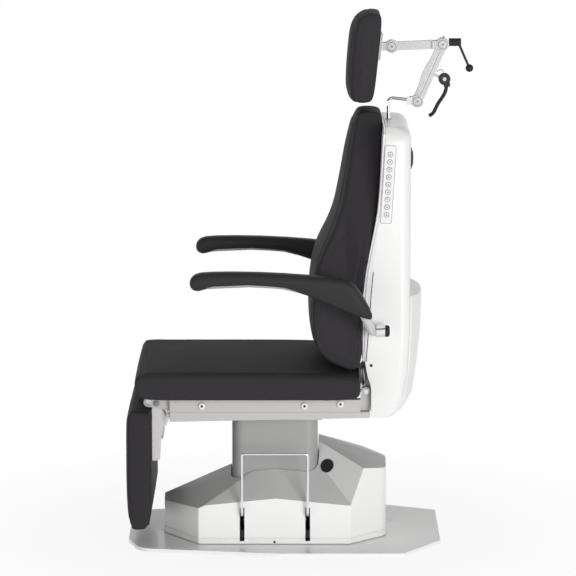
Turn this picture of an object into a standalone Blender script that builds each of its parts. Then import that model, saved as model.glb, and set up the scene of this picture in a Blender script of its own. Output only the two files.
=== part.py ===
"""Ear, nose and throat examination chair, in metres, +Z up.

The chair faces -X. The origin is on the swivel axis, at the underside of the floor plate.
Side profiles are given in the XZ plane, as x and z, with an optional corner radius.
"""
import math

import bmesh
import bpy
from mathutils import Matrix, Vector, geometry

# Fits
SEAT_GAP = 0.0003            # between pieces that rest on each other
RUN_GAP = 0.0003             # radial running clearance of shafts and tubes
SWIVEL_GAP = 0.002           # between the floor plate and the skirt that turns above it

# Floor plate
PLATE_THICK = 0.010
PLATE_HALF_WIDTH = 0.297
PLATE_FRONT = -0.409
PLATE_REAR = 0.462

# Swivel bearing and turntable
BEARING_R_OUT = 0.130
BEARING_R_IN = 0.090
RING_HEIGHT = 0.0114
TURNTABLE_THICK = 0.008

# Base cover
COVER_FRONT = -0.311
COVER_REAR = 0.311
COVER_HALF_WIDTH = 0.190
COVER_WALL = 0.004
COVER_FLANK_FRONT = -0.212   # where the straight side wall starts and ends
COVER_FLANK_REAR = 0.208
COVER_NOSE_HALF = 0.045
COVER_TAIL_HALF = 0.085
SKIRT_HEIGHT = 0.016
SKIRT_PROUD = 0.0015
SLOT_WIDTH = 0.013
SLOT_BOTTOM = 0.019
SLOT_TOP = 0.114
SOCKET_R = 0.0195

# Column
SLEEVE_X = 0.240
SLEEVE_Y = 0.210
SLEEVE_CORNER = 0.035
SLEEVE_WALL = 0.004
SLEEVE_BOTTOM = 0.050
SLEEVE_TOP = 0.358
COLUMN_OPENING_GAP = 0.003
INNER_X = 0.196
INNER_Y = 0.166
INNER_WALL = 0.004
INNER_TOP = 0.335
GLIDE_HEIGHT = 0.085
LIFT_TUBE_R = 0.030
LIFT_TUBE_TOP = 0.315
LIFT_ROD_R = 0.016

# Brake pedal
PEDAL_ROD_R = 0.004
PEDAL_HALF_SPAN = 0.091
PEDAL_AXIS_Y = 0.050 - COVER_HALF_WIDTH
PEDAL_AXIS_Z = 0.070
PEDAL_BAR_Z = 0.2697
PEDAL_STAND_OFF = 0.018      # from the cover wall to the rods in front of it

# Seat frame
HEAD_THICK = 0.012
HEAD_HALF_X = 0.130
RAIL_IN = 0.170
RAIL_OUT = 0.200
RAIL_FRONT = -0.290
RAIL_REAR = 0.262
RAIL_SPLIT = 0.387
LOWER_RAIL_FRONT_Z = 0.359
LOWER_RAIL_REAR_Z = 0.370
UPPER_RAIL_HEIGHT = 0.034
UPPER_RAIL_REAR = 0.236
BOLT_R = 0.0085
BOLT_PROUD = 0.005
CROSS_BAR_HEIGHT = 0.017
CROSS_BAR_LENGTH = 0.026
FRONT_BAR_X = -0.275
REAR_BAR_X = 0.163
BOARD_THICK = 0.012
BOARD_FRONT = -0.330
BOARD_REAR = 0.215
BOARD_HALF_WIDTH = 0.195

# Hinges of the leg rest and the backrest
SHAFT_R = 0.008
LEG_PIVOT = (-0.3495, 0.411)
BACK_PIVOT = (0.252, 0.440)
LUG_THICK = 0.014
EYE_R = 0.014
PLATE_BAND = (0.156, 0.1685)  # |y| of the leg brackets and back plates
PUSH_BAND = (0.142, 0.150)    # |y| of the push bars
FOLD_ANGLE = math.radians(70)
LEVER_R = 0.060
LEVER_PIN_R = 0.005
PUSH_BAR_Z = 0.392
PUSH_BAR_HALF = 0.008
PUSH_TUBE_X = -0.200
PUSH_TUBE_R = 0.009
SLOT_PLAY = 0.0016           # side play of the lever pins in the push bar slots
ACTUATOR_FRONT = -0.100
ACTUATOR_R = 0.018
ACTUATOR_ROD_R = 0.0095

# Cushions
SEAT_THICK = 0.0707
SEAT_CROWN = 0.010
SEAT_FRONT = -0.386
SEAT_REAR = 0.236
SEAT_HALF_WIDTH = 0.285
LEG_CROWN = 0.006
LEG_TOP = 0.398
LEG_BOTTOM = 0.061
LEG_FRONT = -0.4065
LEG_BACK = -0.3533
LEG_HALF_WIDTH = 0.245
LEG_BOARD_THICK = 0.013
LEG_STRIP_DEPTH = 0.025
LEG_STRIP_BOTTOM = 0.243
BACK_HALF_WIDTH = 0.235
BACK_TOP_HALF_WIDTH = 0.078
BACK_BOTTOM = 0.5055
BACK_TOP = 1.2065
HEAD_HALF_WIDTH = 0.090
HEAD_CROWN = 0.013
HEAD_FRONT = 0.209           # x of the side panel at its lower front edge
HEAD_REAR = 0.2728
HEAD_LEAN = 0.020            # how far the front edge leans back at the top
HEAD_BOTTOM = 1.2295
HEAD_TOP = 1.4765

# Back shell
PAN_THICK = 0.006
PAN_BOTTOM = 0.530
PAN_TOP = 1.160
SHELL_REAR = 0.372
SHELL_TOP = 1.175
SHELL_BOTTOM = 0.372
SHELL_FRONT_LOW = 0.265
SHELL_HALF_WIDTH = 0.2085
SHELL_TOP_HALF_WIDTH = 0.178
SHELL_SHOULDER = 1.130       # above this height the shell narrows
SHELL_WALL = 0.005
SHELL_EDGE = 0.028
BULGE_DEPTH = 0.037
BULGE_TOP = 0.705
BULGE_HALF_WIDTH = 0.160
UPRIGHT_FRONT = 0.306
UPRIGHT_DEPTH = 0.024
UPRIGHT_TOP = 1.130

# Keypad
KEY_COUNT = 9
KEY_R = 0.0078
KEY_PITCH = 0.0207
KEY_GAP = 0.0004
KEY_TRAVEL = 0.0008
KEY_PROUD = 0.0015
PANEL_CENTRE = (0.310, 1.021)
PANEL_TILT = math.radians(3.45)
PANEL_WIDTH = 0.032
PANEL_LENGTH = 0.216
PANEL_THICK = 0.0025

# Armrests
ARM_Y = 0.328
ARM_TOP = 0.7996
ARM_HALF_WIDTH = 0.030
ARM_TUBE_R = 0.0135
ARM_AXIS_Y = 0.262
ARM_AXIS_Z = 0.625
COLLAR_R = 0.0168
COLLAR_FRONT = 0.277
COLLAR_REAR = 0.301
ARM_TUBE_END = 0.312

# Headrest
MAST_X = 0.315
MAST_R = 0.0045
MAST_BOTTOM = 0.985
MAST_BEND_Z = 1.235
GUIDE_R = 0.010
GUIDE_BOTTOM = 0.940
GUIDE_TOP = 1.165
GUIDE_BAR_HEIGHTS = (0.960, 1.110)
KNOB_Z = 1.067
KNOB_R = 0.030
KNOB_DEPTH = 0.013
KNOB_STEM_R = 0.004
LOW_JOINT = (0.395, 1.227)
ELBOW = (0.464, 1.385)
HEAD_JOINT = (0.323, 1.379)
JOINT_R = 0.0175
JOINT_PIN_R = 0.010
ARM_HALF_THICK = 0.011
CHEEK_THICK = 0.005
CHEEK_GAP = 0.0004
ARM_SLIT = 0.003
CLAMP_R = 0.011
CLAMP_END = 0.515
CLAMP_BALL = (0.539, 1.318)
CLAMP_BALL_R = 0.011
CAM_EYE = (0.470, 1.288)
CAM_EYE_R = 0.0165
CAM_PIN_R = 0.0055
CAM_TIP = (0.428, 1.185)

# Heights that follow from the sizes above
RING_LOW_Z = PLATE_THICK + SEAT_GAP
RING_HIGH_Z = RING_LOW_Z + RING_HEIGHT + RUN_GAP
TURNTABLE_Z = RING_HIGH_Z + RING_HEIGHT + SEAT_GAP
DECK_Z = TURNTABLE_Z + TURNTABLE_THICK + SEAT_GAP
SKIRT_Z = PLATE_THICK + SWIVEL_GAP
COVER_Z = SKIRT_Z + SKIRT_HEIGHT + SEAT_GAP
HEAD_Z = SLEEVE_TOP + SEAT_GAP
UPPER_RAIL_TOP = RAIL_SPLIT + UPPER_RAIL_HEIGHT - SEAT_GAP
CROSS_BAR_Z = UPPER_RAIL_TOP - CROSS_BAR_HEIGHT
BOARD_Z = UPPER_RAIL_TOP + SEAT_GAP
SEAT_Z = BOARD_Z + BOARD_THICK + SEAT_GAP
LUG_IN = RAIL_IN + 0.0006
LUG_OUT = RAIL_IN + LUG_THICK

PARTS = None


def remove_scene_objects():
    for obj in list(bpy.data.objects):
        bpy.data.objects.remove(obj, do_unlink=True)


def paint(name, colour, roughness, metallic=0.0):
    material = bpy.data.materials.new(name)
    material.use_nodes = True
    shader = material.node_tree.nodes["Principled BSDF"]
    shader.inputs["Base Color"].default_value = (*colour, 1.0)
    shader.inputs["Roughness"].default_value = roughness
    shader.inputs["Metallic"].default_value = metallic
    return material


def make_object(name, bm, material):
    """Turn a bmesh into a named object of the chair's collection."""
    bmesh.ops.recalc_face_normals(bm, faces=bm.faces)
    mesh = bpy.data.meshes.new(name)
    bm.to_mesh(mesh)
    bm.free()
    mesh.materials.append(material)
    obj = bpy.data.objects.new(name, mesh)
    PARTS.objects.link(obj)
    return obj


def shade_round(obj, angle=35):
    obj.data.shade_smooth()
    obj.data.set_sharp_from_angle(angle=math.radians(angle))
    return obj


def evaluated_mesh(obj):
    bpy.context.view_layer.update()
    graph = bpy.context.evaluated_depsgraph_get()
    return bpy.data.meshes.new_from_object(obj.evaluated_get(graph))


def boolean(target, other, operation):
    """Apply one exact boolean and remove the other object."""
    modifier = target.modifiers.new("boolean", "BOOLEAN")
    modifier.object = other
    modifier.operation = operation
    modifier.solver = "EXACT"
    mesh = evaluated_mesh(target)
    target.modifiers.clear()
    target.data = mesh
    bpy.data.objects.remove(other, do_unlink=True)
    return merge_slivers(target)


def merge_slivers(obj, distance=2e-5):
    """Merge the tiny edges that a boolean leaves."""
    bm = bmesh.new()
    bm.from_mesh(obj.data)
    bmesh.ops.remove_doubles(bm, verts=bm.verts, dist=distance)
    bmesh.ops.dissolve_degenerate(bm, edges=bm.edges, dist=distance)
    bm.to_mesh(obj.data)
    bm.free()
    return obj


def cut(target, *others):
    for other in others:
        boolean(target, other, "DIFFERENCE")
    return target


def join(target, *others):
    for other in others:
        boolean(target, other, "UNION")
    return target


def box(name, low, high, material):
    low, high = Vector(low), Vector(high)
    size = Matrix.Diagonal((*(high - low), 1.0))
    bm = bmesh.new()
    bmesh.ops.create_cube(bm, size=1.0, matrix=Matrix.Translation((low + high) / 2) @ size)
    return make_object(name, bm, material)


def rod(name, start, end, radius, material, sides=16):
    """Straight round bar between two points."""
    start, end = Vector(start), Vector(end)
    axis = end - start
    turn = axis.to_track_quat("Z", "Y").to_matrix().to_4x4()
    bm = bmesh.new()
    bmesh.ops.create_cone(bm, cap_ends=True, segments=sides, radius1=radius, radius2=radius,
                          depth=axis.length, matrix=Matrix.Translation((start + end) / 2) @ turn)
    return shade_round(make_object(name, bm, material))


def turned(name, profile, matrix, material, steps=24):
    """Spin a closed radius and height profile about its local Z, then place it."""
    bm = bmesh.new()
    points = [bm.verts.new((r, 0.0, h)) for r, h in profile]
    for first, second in zip(points, points[1:] + points[:1]):
        bm.edges.new((first, second))
    mesh = bpy.data.meshes.new(name)
    bm.to_mesh(mesh)
    bm.free()
    obj = bpy.data.objects.new(name, mesh)
    PARTS.objects.link(obj)
    screw = obj.modifiers.new("screw", "SCREW")
    screw.steps = steps
    screw.render_steps = steps
    screw.use_merge_vertices = True
    screw.merge_threshold = 1e-5
    solid = bmesh.new()
    solid.from_mesh(evaluated_mesh(obj))
    bpy.data.objects.remove(obj, do_unlink=True)
    bmesh.ops.remove_doubles(solid, verts=solid.verts, dist=1e-6)
    solid.transform(matrix)
    return shade_round(make_object(name, solid, material))


def along_x(x, y, z):
    """Place a turned piece so that its local Z points along +X."""
    return Matrix.Translation((x, y, z)) @ Matrix.Rotation(math.pi / 2, 4, "Y")


def rounded(corners, steps=4):
    """Replace each corner given as (a, b, radius) by an arc; a corner without radius stays sharp."""
    points = []
    count = len(corners)
    for index, corner in enumerate(corners):
        here = Vector(corner[:2])
        radius = corner[2] if len(corner) > 2 else 0.0
        if radius == 0.0:
            points.append(here)
            continue
        before = (Vector(corners[index - 1][:2]) - here).normalized()
        after = (Vector(corners[(index + 1) % count][:2]) - here).normalized()
        half = before.angle(after) / 2
        reach = radius / math.tan(half)
        centre = here + (before + after).normalized() * (radius / math.sin(half))
        start = here + before * reach - centre
        end = here + after * reach - centre
        sweep = start.angle_signed(end)
        for step in range(steps + 1):
            turn = Matrix.Rotation(-sweep * step / steps, 2)
            points.append(centre + turn @ start)
    return points


def circle(centre, radius, sides=16):
    return [Vector((centre[0] + radius * math.cos(2 * math.pi * k / sides),
                    centre[1] + radius * math.sin(2 * math.pi * k / sides))) for k in range(sides)]


FLAT = Matrix.Identity(4)
SIDEWAYS = Matrix.Rotation(math.pi / 2, 4, "X")    # outline x, y become x, z


def flat_piece(name, outlines, low, high, material, plane=FLAT):
    """Extrude outlines (the first is the rim, the rest are holes) from low to high.

    The plane FLAT extrudes along Z, and SIDEWAYS takes XZ outlines and extrudes along Y.
    """
    curve = bpy.data.curves.new(name, "CURVE")
    curve.dimensions = "2D"
    curve.fill_mode = "BOTH"
    curve.extrude = (high - low) / 2
    for outline in outlines:
        spline = curve.splines.new("POLY")
        spline.points.add(len(outline) - 1)
        for point, place in zip(spline.points, outline):
            point.co = (place[0], place[1], 0.0, 1.0)
        spline.use_cyclic_u = True
    obj = bpy.data.objects.new(name, curve)
    PARTS.objects.link(obj)
    bm = bmesh.new()
    bm.from_mesh(evaluated_mesh(obj))
    bpy.data.objects.remove(obj, do_unlink=True)
    bmesh.ops.remove_doubles(bm, verts=bm.verts, dist=1e-6)
    middle = (low + high) / 2
    shift = Matrix.Translation((0, 0, middle)) if plane is FLAT else Matrix.Translation((0, middle, 0))
    bm.transform(shift @ plane)
    return make_object(name, bm, material)


def band(side, inner, outer):
    """Lower and upper y of a plate that lies between two distances from the middle plane."""
    return (inner, outer) if side > 0 else (-outer, -inner)


def smooth_path(points, steps=6):
    """Catmull-Rom points through a route."""
    route = [Vector(p) for p in points]
    ends = [2 * route[0] - route[1], *route, 2 * route[-1] - route[-2]]
    path = []
    for a, b, c, d in zip(ends, ends[1:], ends[2:], ends[3:]):
        for step in range(steps):
            t = step / steps
            path.append(0.5 * (2 * b + (c - a) * t + (2 * a - 5 * b + 4 * c - d) * t * t
                               + (3 * b - 3 * c + d - a) * t ** 3))
    return [*path, route[-1]]


def tube(name, path, radius, material, cyclic=False, resolution=2):
    """Round bar or tube along a path."""
    curve = bpy.data.curves.new(name, "CURVE")
    curve.dimensions = "3D"
    curve.bevel_depth = radius
    curve.bevel_resolution = resolution
    curve.use_fill_caps = True
    spline = curve.splines.new("POLY")
    spline.points.add(len(path) - 1)
    for point, place in zip(spline.points, path):
        point.co = (*place, 1.0)
    spline.use_cyclic_u = cyclic
    obj = bpy.data.objects.new(name, curve)
    PARTS.objects.link(obj)
    bm = bmesh.new()
    bm.from_mesh(evaluated_mesh(obj))
    bpy.data.objects.remove(obj, do_unlink=True)
    bmesh.ops.remove_doubles(bm, verts=bm.verts, dist=1e-6)
    return shade_round(make_object(name, bm, material))


def outward(profile):
    """Outward unit normals of an XZ profile that runs counter-clockwise."""
    normals = []
    for index, _ in enumerate(profile):
        run = profile[(index + 1) % len(profile)] - profile[index - 1]
        normals.append(Vector((run.y, -run.x)).normalized())
    return normals


def sweep_profile(name, profile, half_width, edge, material, draw=0.0, levels=1, middle=0.0,
                  inner=(-0.45, 0.0, 0.45)):
    """Sweep an XZ side profile across the width, with round edges.

    A profile point is (x, z), or (x, z, crown) where the surface rises by crown towards the middle.
    half_width gives the half width at a height, and draw pulls the sides in between their corners.
    """
    crowns = [p[2] if len(p) > 2 else 0.0 for p in profile]
    profile = [Vector(p[:2]) for p in profile]
    normals = outward(profile)
    low = min(p.x for p in profile)
    span = max(p.x for p in profile) - low
    arc = (0.0, 45.0, 90.0)
    rings = [(1.0, edge * (1 - math.cos(math.radians(a))),
              edge * (1 - math.sin(math.radians(a)))) for a in arc]
    stations = [(-f, b, i) for f, b, i in rings] + [(f, None, 0.0) for f in inner]
    stations += [(f, b, i) for f, b, i in reversed(rings)]
    bm = bmesh.new()
    loops = []
    for fraction, back_off, inset in stations:
        loop = []
        for point, normal, crown in zip(profile, normals, crowns):
            width = half_width(point.y)
            along = 2 * (point.x - low) / span - 1
            width -= draw * (1 - along * along)
            if back_off is None:
                y = fraction * width
            else:
                y = fraction * (width - back_off)
            lift = crown * (1 - (y / width) ** 2)
            place = point + normal * (lift - inset)
            loop.append(bm.verts.new((place.x, middle + y, place.y)))
        loops.append(loop)
    for first, second in zip(loops, loops[1:]):
        for index, _ in enumerate(profile):
            after = (index + 1) % len(profile)
            bm.faces.new((first[index], first[after], second[after], second[index]))
    ends = [bm.faces.new(loops[0]), bm.faces.new(loops[-1])]
    bmesh.ops.triangulate(bm, faces=ends, quad_method="BEAUTY", ngon_method="BEAUTY")
    obj = make_object(name, bm, material)
    if levels:
        rounder = obj.modifiers.new("rounding", "SUBSURF")
        rounder.levels = levels
        rounder.render_levels = levels
    obj.data.shade_smooth()
    return obj


def settle(obj):
    """Apply an object's modifiers."""
    mesh = evaluated_mesh(obj)
    obj.modifiers.clear()
    obj.data = mesh
    return obj


def lever_pin(pivot):
    """Rest place of a lever pin that swings evenly to both sides of straight down."""
    half = FOLD_ANGLE / 2
    return (pivot[0] + LEVER_R * math.sin(half), pivot[1] - LEVER_R * math.cos(half))


# Base


def cover_outline(inset):
    """Plan outline of the base cover, moved inwards by inset."""
    width = COVER_HALF_WIDTH - inset
    half = [(COVER_REAR - inset, COVER_TAIL_HALF - inset, 0.055), (COVER_FLANK_REAR, width, 0.010),
            (COVER_FLANK_FRONT, width, 0.006), (COVER_FRONT + inset, COVER_NOSE_HALF - inset, 0.040)]
    other = [(x, -y, r) for x, y, r in reversed(half)]
    return rounded(half + other, steps=6)


# Roof planes of the cover: height z at x on the ridge, slope along x, fall per metre away from the ridge
FRONT_ROOF = (0.197, -0.125, 0.446, 0.24)
FLANK_ROOF_FRONT = (0.294, 0.003, 0.10, 0.81)
FLANK_ROOF_REAR = (0.294, 0.003, -0.10, 0.81)
HUMP_SIDE = (0.474, 0.243, 0.992, 1.723)
HUMP_ROOF = (0.281, 0.121, -0.340, 0.14)
HUMP_FRONT = 0.050


def roof_plane(roof, side, inset):
    height, x, slope, fall = roof
    normal = Vector((-slope, side * fall, 1.0)).normalized()
    return Vector((x, 0.0, height)) - normal * inset, normal


def cut_prism(name, outline, bottom, planes, material):
    """Upright prism on an outline, cut by planes whose outer sides are dropped."""
    bm = bmesh.new()
    face = bm.faces.new([bm.verts.new((p.x, p.y, bottom)) for p in outline])
    grown = bmesh.ops.extrude_face_region(bm, geom=[face])
    tops = [item for item in grown["geom"] if isinstance(item, bmesh.types.BMVert)]
    bmesh.ops.translate(bm, verts=tops, vec=(0, 0, HUMP_SIDE[0] - bottom))
    for point, normal in planes:
        everything = bm.verts[:] + bm.edges[:] + bm.faces[:]
        found = bmesh.ops.bisect_plane(bm, geom=everything, dist=1e-6, plane_co=point, plane_no=normal,
                                       clear_outer=True)
        rim = [item for item in found["geom_cut"] if isinstance(item, bmesh.types.BMEdge)]
        if rim:
            bmesh.ops.contextual_create(bm, geom=rim)
    bmesh.ops.remove_doubles(bm, verts=bm.verts, dist=1e-6)
    return make_object(name, bm, material)


def cover_body(name, inset, bottom, material):
    sides = (-1, 1)
    low_roofs = (FRONT_ROOF, FLANK_ROOF_FRONT, FLANK_ROOF_REAR, HUMP_ROOF)
    low_planes = [roof_plane(roof, side, inset) for roof in low_roofs for side in sides]
    hump_planes = [roof_plane(roof, side, inset) for roof in (HUMP_SIDE, HUMP_ROOF) for side in sides]
    hump_planes.append((Vector((HUMP_FRONT + inset, 0, 0)), Vector((-1, 0, 0))))
    outline = cover_outline(inset)
    body = cut_prism(name, outline, bottom, low_planes, material)
    return join(body, cut_prism(f"{name}_hump", outline, bottom, hump_planes, material))


def socket_place():
    """Centre of the round socket on the hump's near side, and the outward direction there."""
    height, x, slope, fall = HUMP_SIDE
    place_x, place_y = 0.146, -0.096
    normal = Vector((-slope, -fall, 1.0)).normalized()
    return Vector((place_x, place_y, height + slope * (place_x - x) - fall * abs(place_y))), normal


def rectangle(size_x, size_y, radius):
    x, y = size_x / 2, size_y / 2
    return rounded([(x, -y, radius), (x, y, radius), (-x, y, radius), (-x, -y, radius)], steps=4)


def make_base(paints):
    white, steel = paints["white"], paints["steel"]
    width = PLATE_HALF_WIDTH
    plate = [(PLATE_FRONT, 0.120, 0.08), (PLATE_FRONT, -0.120, 0.08), (PLATE_FRONT + 0.034, -0.235, 0.06),
             (0.0, -width, 0.2), (0.354, -width, 0.02), (PLATE_REAR, -0.142, 0.012),
             (PLATE_REAR, 0.232, 0.012),
             (0.319, width, 0.02), (0.0, width, 0.2), (PLATE_FRONT + 0.034, 0.235, 0.06)]
    flat_piece("base_plate", [rounded(plate)], 0.0, PLATE_THICK, white)
    ring = [(BEARING_R_OUT, RING_HEIGHT), (BEARING_R_OUT, 0.0), (BEARING_R_IN, 0.0),
            (BEARING_R_IN, RING_HEIGHT)]
    turned("bearing_lower_ring", ring, Matrix.Translation((0, 0, RING_LOW_Z)), steel)


def make_turntable(paints):
    white, steel, black = paints["white"], paints["steel"], paints["black"]
    ring = [(BEARING_R_OUT, RING_HEIGHT), (BEARING_R_OUT, 0.0), (BEARING_R_IN, 0.0),
            (BEARING_R_IN, RING_HEIGHT)]
    turned("bearing_upper_ring", ring, Matrix.Translation((0, 0, RING_HIGH_Z)), steel)
    flat_piece("turntable_plate", [cover_outline(COVER_WALL + SEAT_GAP)], TURNTABLE_Z,
               TURNTABLE_Z + TURNTABLE_THICK, steel)

    cover = cover_body("base_cover", 0.0, COVER_Z, white)
    hollow = cover_body("hollow", COVER_WALL, COVER_Z - COVER_WALL, white)
    opening_gap = 2 * COLUMN_OPENING_GAP
    opening = flat_piece("opening", [rectangle(SLEEVE_X + opening_gap, SLEEVE_Y + opening_gap,
                                               SLEEVE_CORNER + COLUMN_OPENING_GAP)],
                         SLEEVE_BOTTOM, HUMP_SIDE[0], white)
    cut(cover, hollow, opening)
    skirt = flat_piece("cover_skirt", [cover_outline(-SKIRT_PROUD), cover_outline(COVER_WALL)], SKIRT_Z,
                       SKIRT_Z + SKIRT_HEIGHT, white)
    half = SLOT_WIDTH / 2
    near = -COVER_HALF_WIDTH
    for x in (-PEDAL_HALF_SPAN, PEDAL_HALF_SPAN):
        for wall in (cover, skirt):
            cut(wall, box("slot", (x - half, near - COVER_WALL, SLOT_BOTTOM),
                          (x + half, near + 2 * COVER_WALL, SLOT_TOP),
                          white))
    place, normal = socket_place()
    cut(cover, rod("socket_hole", place - normal * 0.02, place + normal * 0.02, SOCKET_R + RUN_GAP, white,
                   24))
    rod("socket_plug", place - normal * 0.010, place + normal * 0.003, SOCKET_R, black, 24)


    flat_piece("inner_column", [rectangle(INNER_X, INNER_Y, 0.012),
                                rectangle(INNER_X - 2 * INNER_WALL, INNER_Y - 2 * INNER_WALL, 0.008)],
               DECK_Z, INNER_TOP, steel)
    clear = 2 * SEAT_GAP
    slide_x, slide_y = SLEEVE_X - 2 * SLEEVE_WALL - 2 * RUN_GAP, SLEEVE_Y - 2 * SLEEVE_WALL - 2 * RUN_GAP
    flat_piece("column_glide", [rectangle(slide_x, slide_y, SLEEVE_CORNER - SLEEVE_WALL),
                                rectangle(INNER_X + clear, INNER_Y + clear, 0.012)],
               INNER_TOP - GLIDE_HEIGHT, INNER_TOP - 0.004, paints["plastic"])

    lift = turned("lift_actuator", [(LIFT_TUBE_R, LIFT_TUBE_TOP), (LIFT_TUBE_R, DECK_Z), (0.0, DECK_Z),
                                    (0.0, DECK_Z + 0.006), (LIFT_ROD_R + RUN_GAP, DECK_Z + 0.006),
                                    (LIFT_ROD_R + RUN_GAP, LIFT_TUBE_TOP)], FLAT, black, steps=24)
    join(lift, box("gearbox", (LIFT_TUBE_R - 0.006, -0.022, DECK_Z), (0.085, 0.022, DECK_Z + 0.120), black))

    span = PEDAL_HALF_SPAN - 0.020
    block = box("pedal_bearing", (-span, PEDAL_AXIS_Y - 0.016, DECK_Z), (span, PEDAL_AXIS_Y + 0.016,
                                                                        PEDAL_AXIS_Z + 0.014), steel)
    gap_span = span - 0.020
    cut(block, box("gap", (-gap_span, PEDAL_AXIS_Y - 0.02, DECK_Z + 0.008), (gap_span, PEDAL_AXIS_Y + 0.02,
                                                                            PEDAL_AXIS_Z + 0.02), steel),
        rod("bore", (-PEDAL_HALF_SPAN, PEDAL_AXIS_Y, PEDAL_AXIS_Z),
            (PEDAL_HALF_SPAN, PEDAL_AXIS_Y, PEDAL_AXIS_Z),
            PEDAL_ROD_R + RUN_GAP, steel, 12))
    box("control_box", (0.150, -0.070, DECK_Z), (0.250, 0.070, DECK_Z + 0.070), paints["plastic"])


def make_pedal(paints):
    """Wire loop: shaft inside the cover, arms out through the slots, cross bar in front."""
    stand = -(COVER_HALF_WIDTH + PEDAL_STAND_OFF)
    side = [(PEDAL_HALF_SPAN, PEDAL_AXIS_Y, PEDAL_AXIS_Z),
            (PEDAL_HALF_SPAN, -COVER_HALF_WIDTH + 0.010, 0.090),
            (PEDAL_HALF_SPAN, stand + 0.006, 0.096), (PEDAL_HALF_SPAN, stand, 0.106),
            (PEDAL_HALF_SPAN, stand, PEDAL_BAR_Z - 0.006),
            (PEDAL_HALF_SPAN - 0.002, stand, PEDAL_BAR_Z - 0.002),
            (PEDAL_HALF_SPAN - 0.006, stand, PEDAL_BAR_Z)]
    other = [(-x, y, z) for x, y, z in reversed(side)]
    tube("brake_pedal", side + other, PEDAL_ROD_R, paints["steel"], cyclic=True)


# Lift carriage


def make_carriage(paints):
    grey, rail_paint, steel = paints["column"], paints["rail"], paints["steel"]
    inner_x, inner_y = SLEEVE_X - 2 * SLEEVE_WALL, SLEEVE_Y - 2 * SLEEVE_WALL
    flat_piece("column_sleeve", [rectangle(SLEEVE_X, SLEEVE_Y, SLEEVE_CORNER),
                                 rectangle(inner_x, inner_y, SLEEVE_CORNER - SLEEVE_WALL)],
               SLEEVE_BOTTOM, SLEEVE_TOP, grey)
    rod("lift_rod", (0, 0, SLEEVE_BOTTOM + 0.006), (0, 0, SLEEVE_TOP), LIFT_ROD_R, steel, 24)
    make_seat_frame(rail_paint)
    box("seat_board", (BOARD_FRONT, -BOARD_HALF_WIDTH, BOARD_Z),
        (BOARD_REAR, BOARD_HALF_WIDTH, BOARD_Z + BOARD_THICK), paints["wood"])
    make_seat_cushion(paints["hide"])
    reach = LUG_OUT - SEAT_GAP
    for name, (x, z) in (("leg_shaft", LEG_PIVOT), ("back_shaft", BACK_PIVOT)):
        rod(name, (x, -reach, z), (x, reach, z), SHAFT_R, steel)
    make_recline_actuator(paints)


def make_seat_cushion(material):
    bottom, top = SEAT_Z, SEAT_Z + SEAT_THICK
    front, rear = SEAT_FRONT, SEAT_REAR
    crown = SEAT_CROWN
    profile = [(front + 0.036, bottom), (-0.15, bottom), (0.05, bottom), (rear - 0.014, bottom),
               (rear, bottom + 0.012), (rear, top - 0.018), (rear - 0.012, top - 0.006),
               (0.10, top, 0.7 * crown),
               (-0.15, top, crown), (front + 0.034, top, 0.6 * crown),
               (front + 0.012, top - 0.001, 0.3 * crown),
               (front + 0.003, top - 0.009, 0.3 * crown), (front, bottom + 0.034),
               (front + 0.013, bottom + 0.009)]
    return sweep_profile("seat_cushion", profile, lambda z: SEAT_HALF_WIDTH, 0.014, material, draw=0.005)


def make_seat_frame(material):
    """Lower frame on the column, and upper frame with the lugs that carry the two hinge shafts."""
    overlap = RAIL_IN + 0.004
    lower = [(RAIL_FRONT, LOWER_RAIL_FRONT_Z), (RAIL_REAR, LOWER_RAIL_REAR_Z),
             (RAIL_REAR, RAIL_SPLIT - SEAT_GAP),
             (RAIL_FRONT, RAIL_SPLIT - SEAT_GAP)]
    frame = box("lower_frame", (-HEAD_HALF_X, -overlap, HEAD_Z),
                (HEAD_HALF_X, overlap, HEAD_Z + HEAD_THICK), material)
    for side in (-1, 1):
        join(frame, flat_piece("rail", [lower], *band(side, RAIL_IN, RAIL_OUT), material, SIDEWAYS))

    bars = [box(f"cross_bar_{k}", (x - CROSS_BAR_LENGTH / 2, -overlap, CROSS_BAR_Z),
                (x + CROSS_BAR_LENGTH / 2, overlap, UPPER_RAIL_TOP - SEAT_GAP), material)
            for k, x in enumerate((FRONT_BAR_X, REAR_BAR_X))]
    rails = []
    for side in (-1, 1):
        y_low, y_high = band(side, RAIL_IN, RAIL_OUT)
        rail = box("rail", (RAIL_FRONT, y_low, RAIL_SPLIT), (UPPER_RAIL_REAR, y_high, UPPER_RAIL_TOP),
                   material)
        face = side * RAIL_OUT
        middle = RAIL_SPLIT + UPPER_RAIL_HEIGHT / 2
        for x, z in ((-0.201, middle), (0.082, middle), (0.181, middle + 0.006)):
            join(rail, rod("bolt", (x, face - side * BOLT_PROUD, z), (x, face + side * BOLT_PROUD, z),
                           BOLT_R, material, 10))
        rails.append(join(rail, *hinge_lugs(side, material)))
    upper = rails.pop()
    upper.name = "upper_frame"
    join(upper, *bars, *rails)


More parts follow.
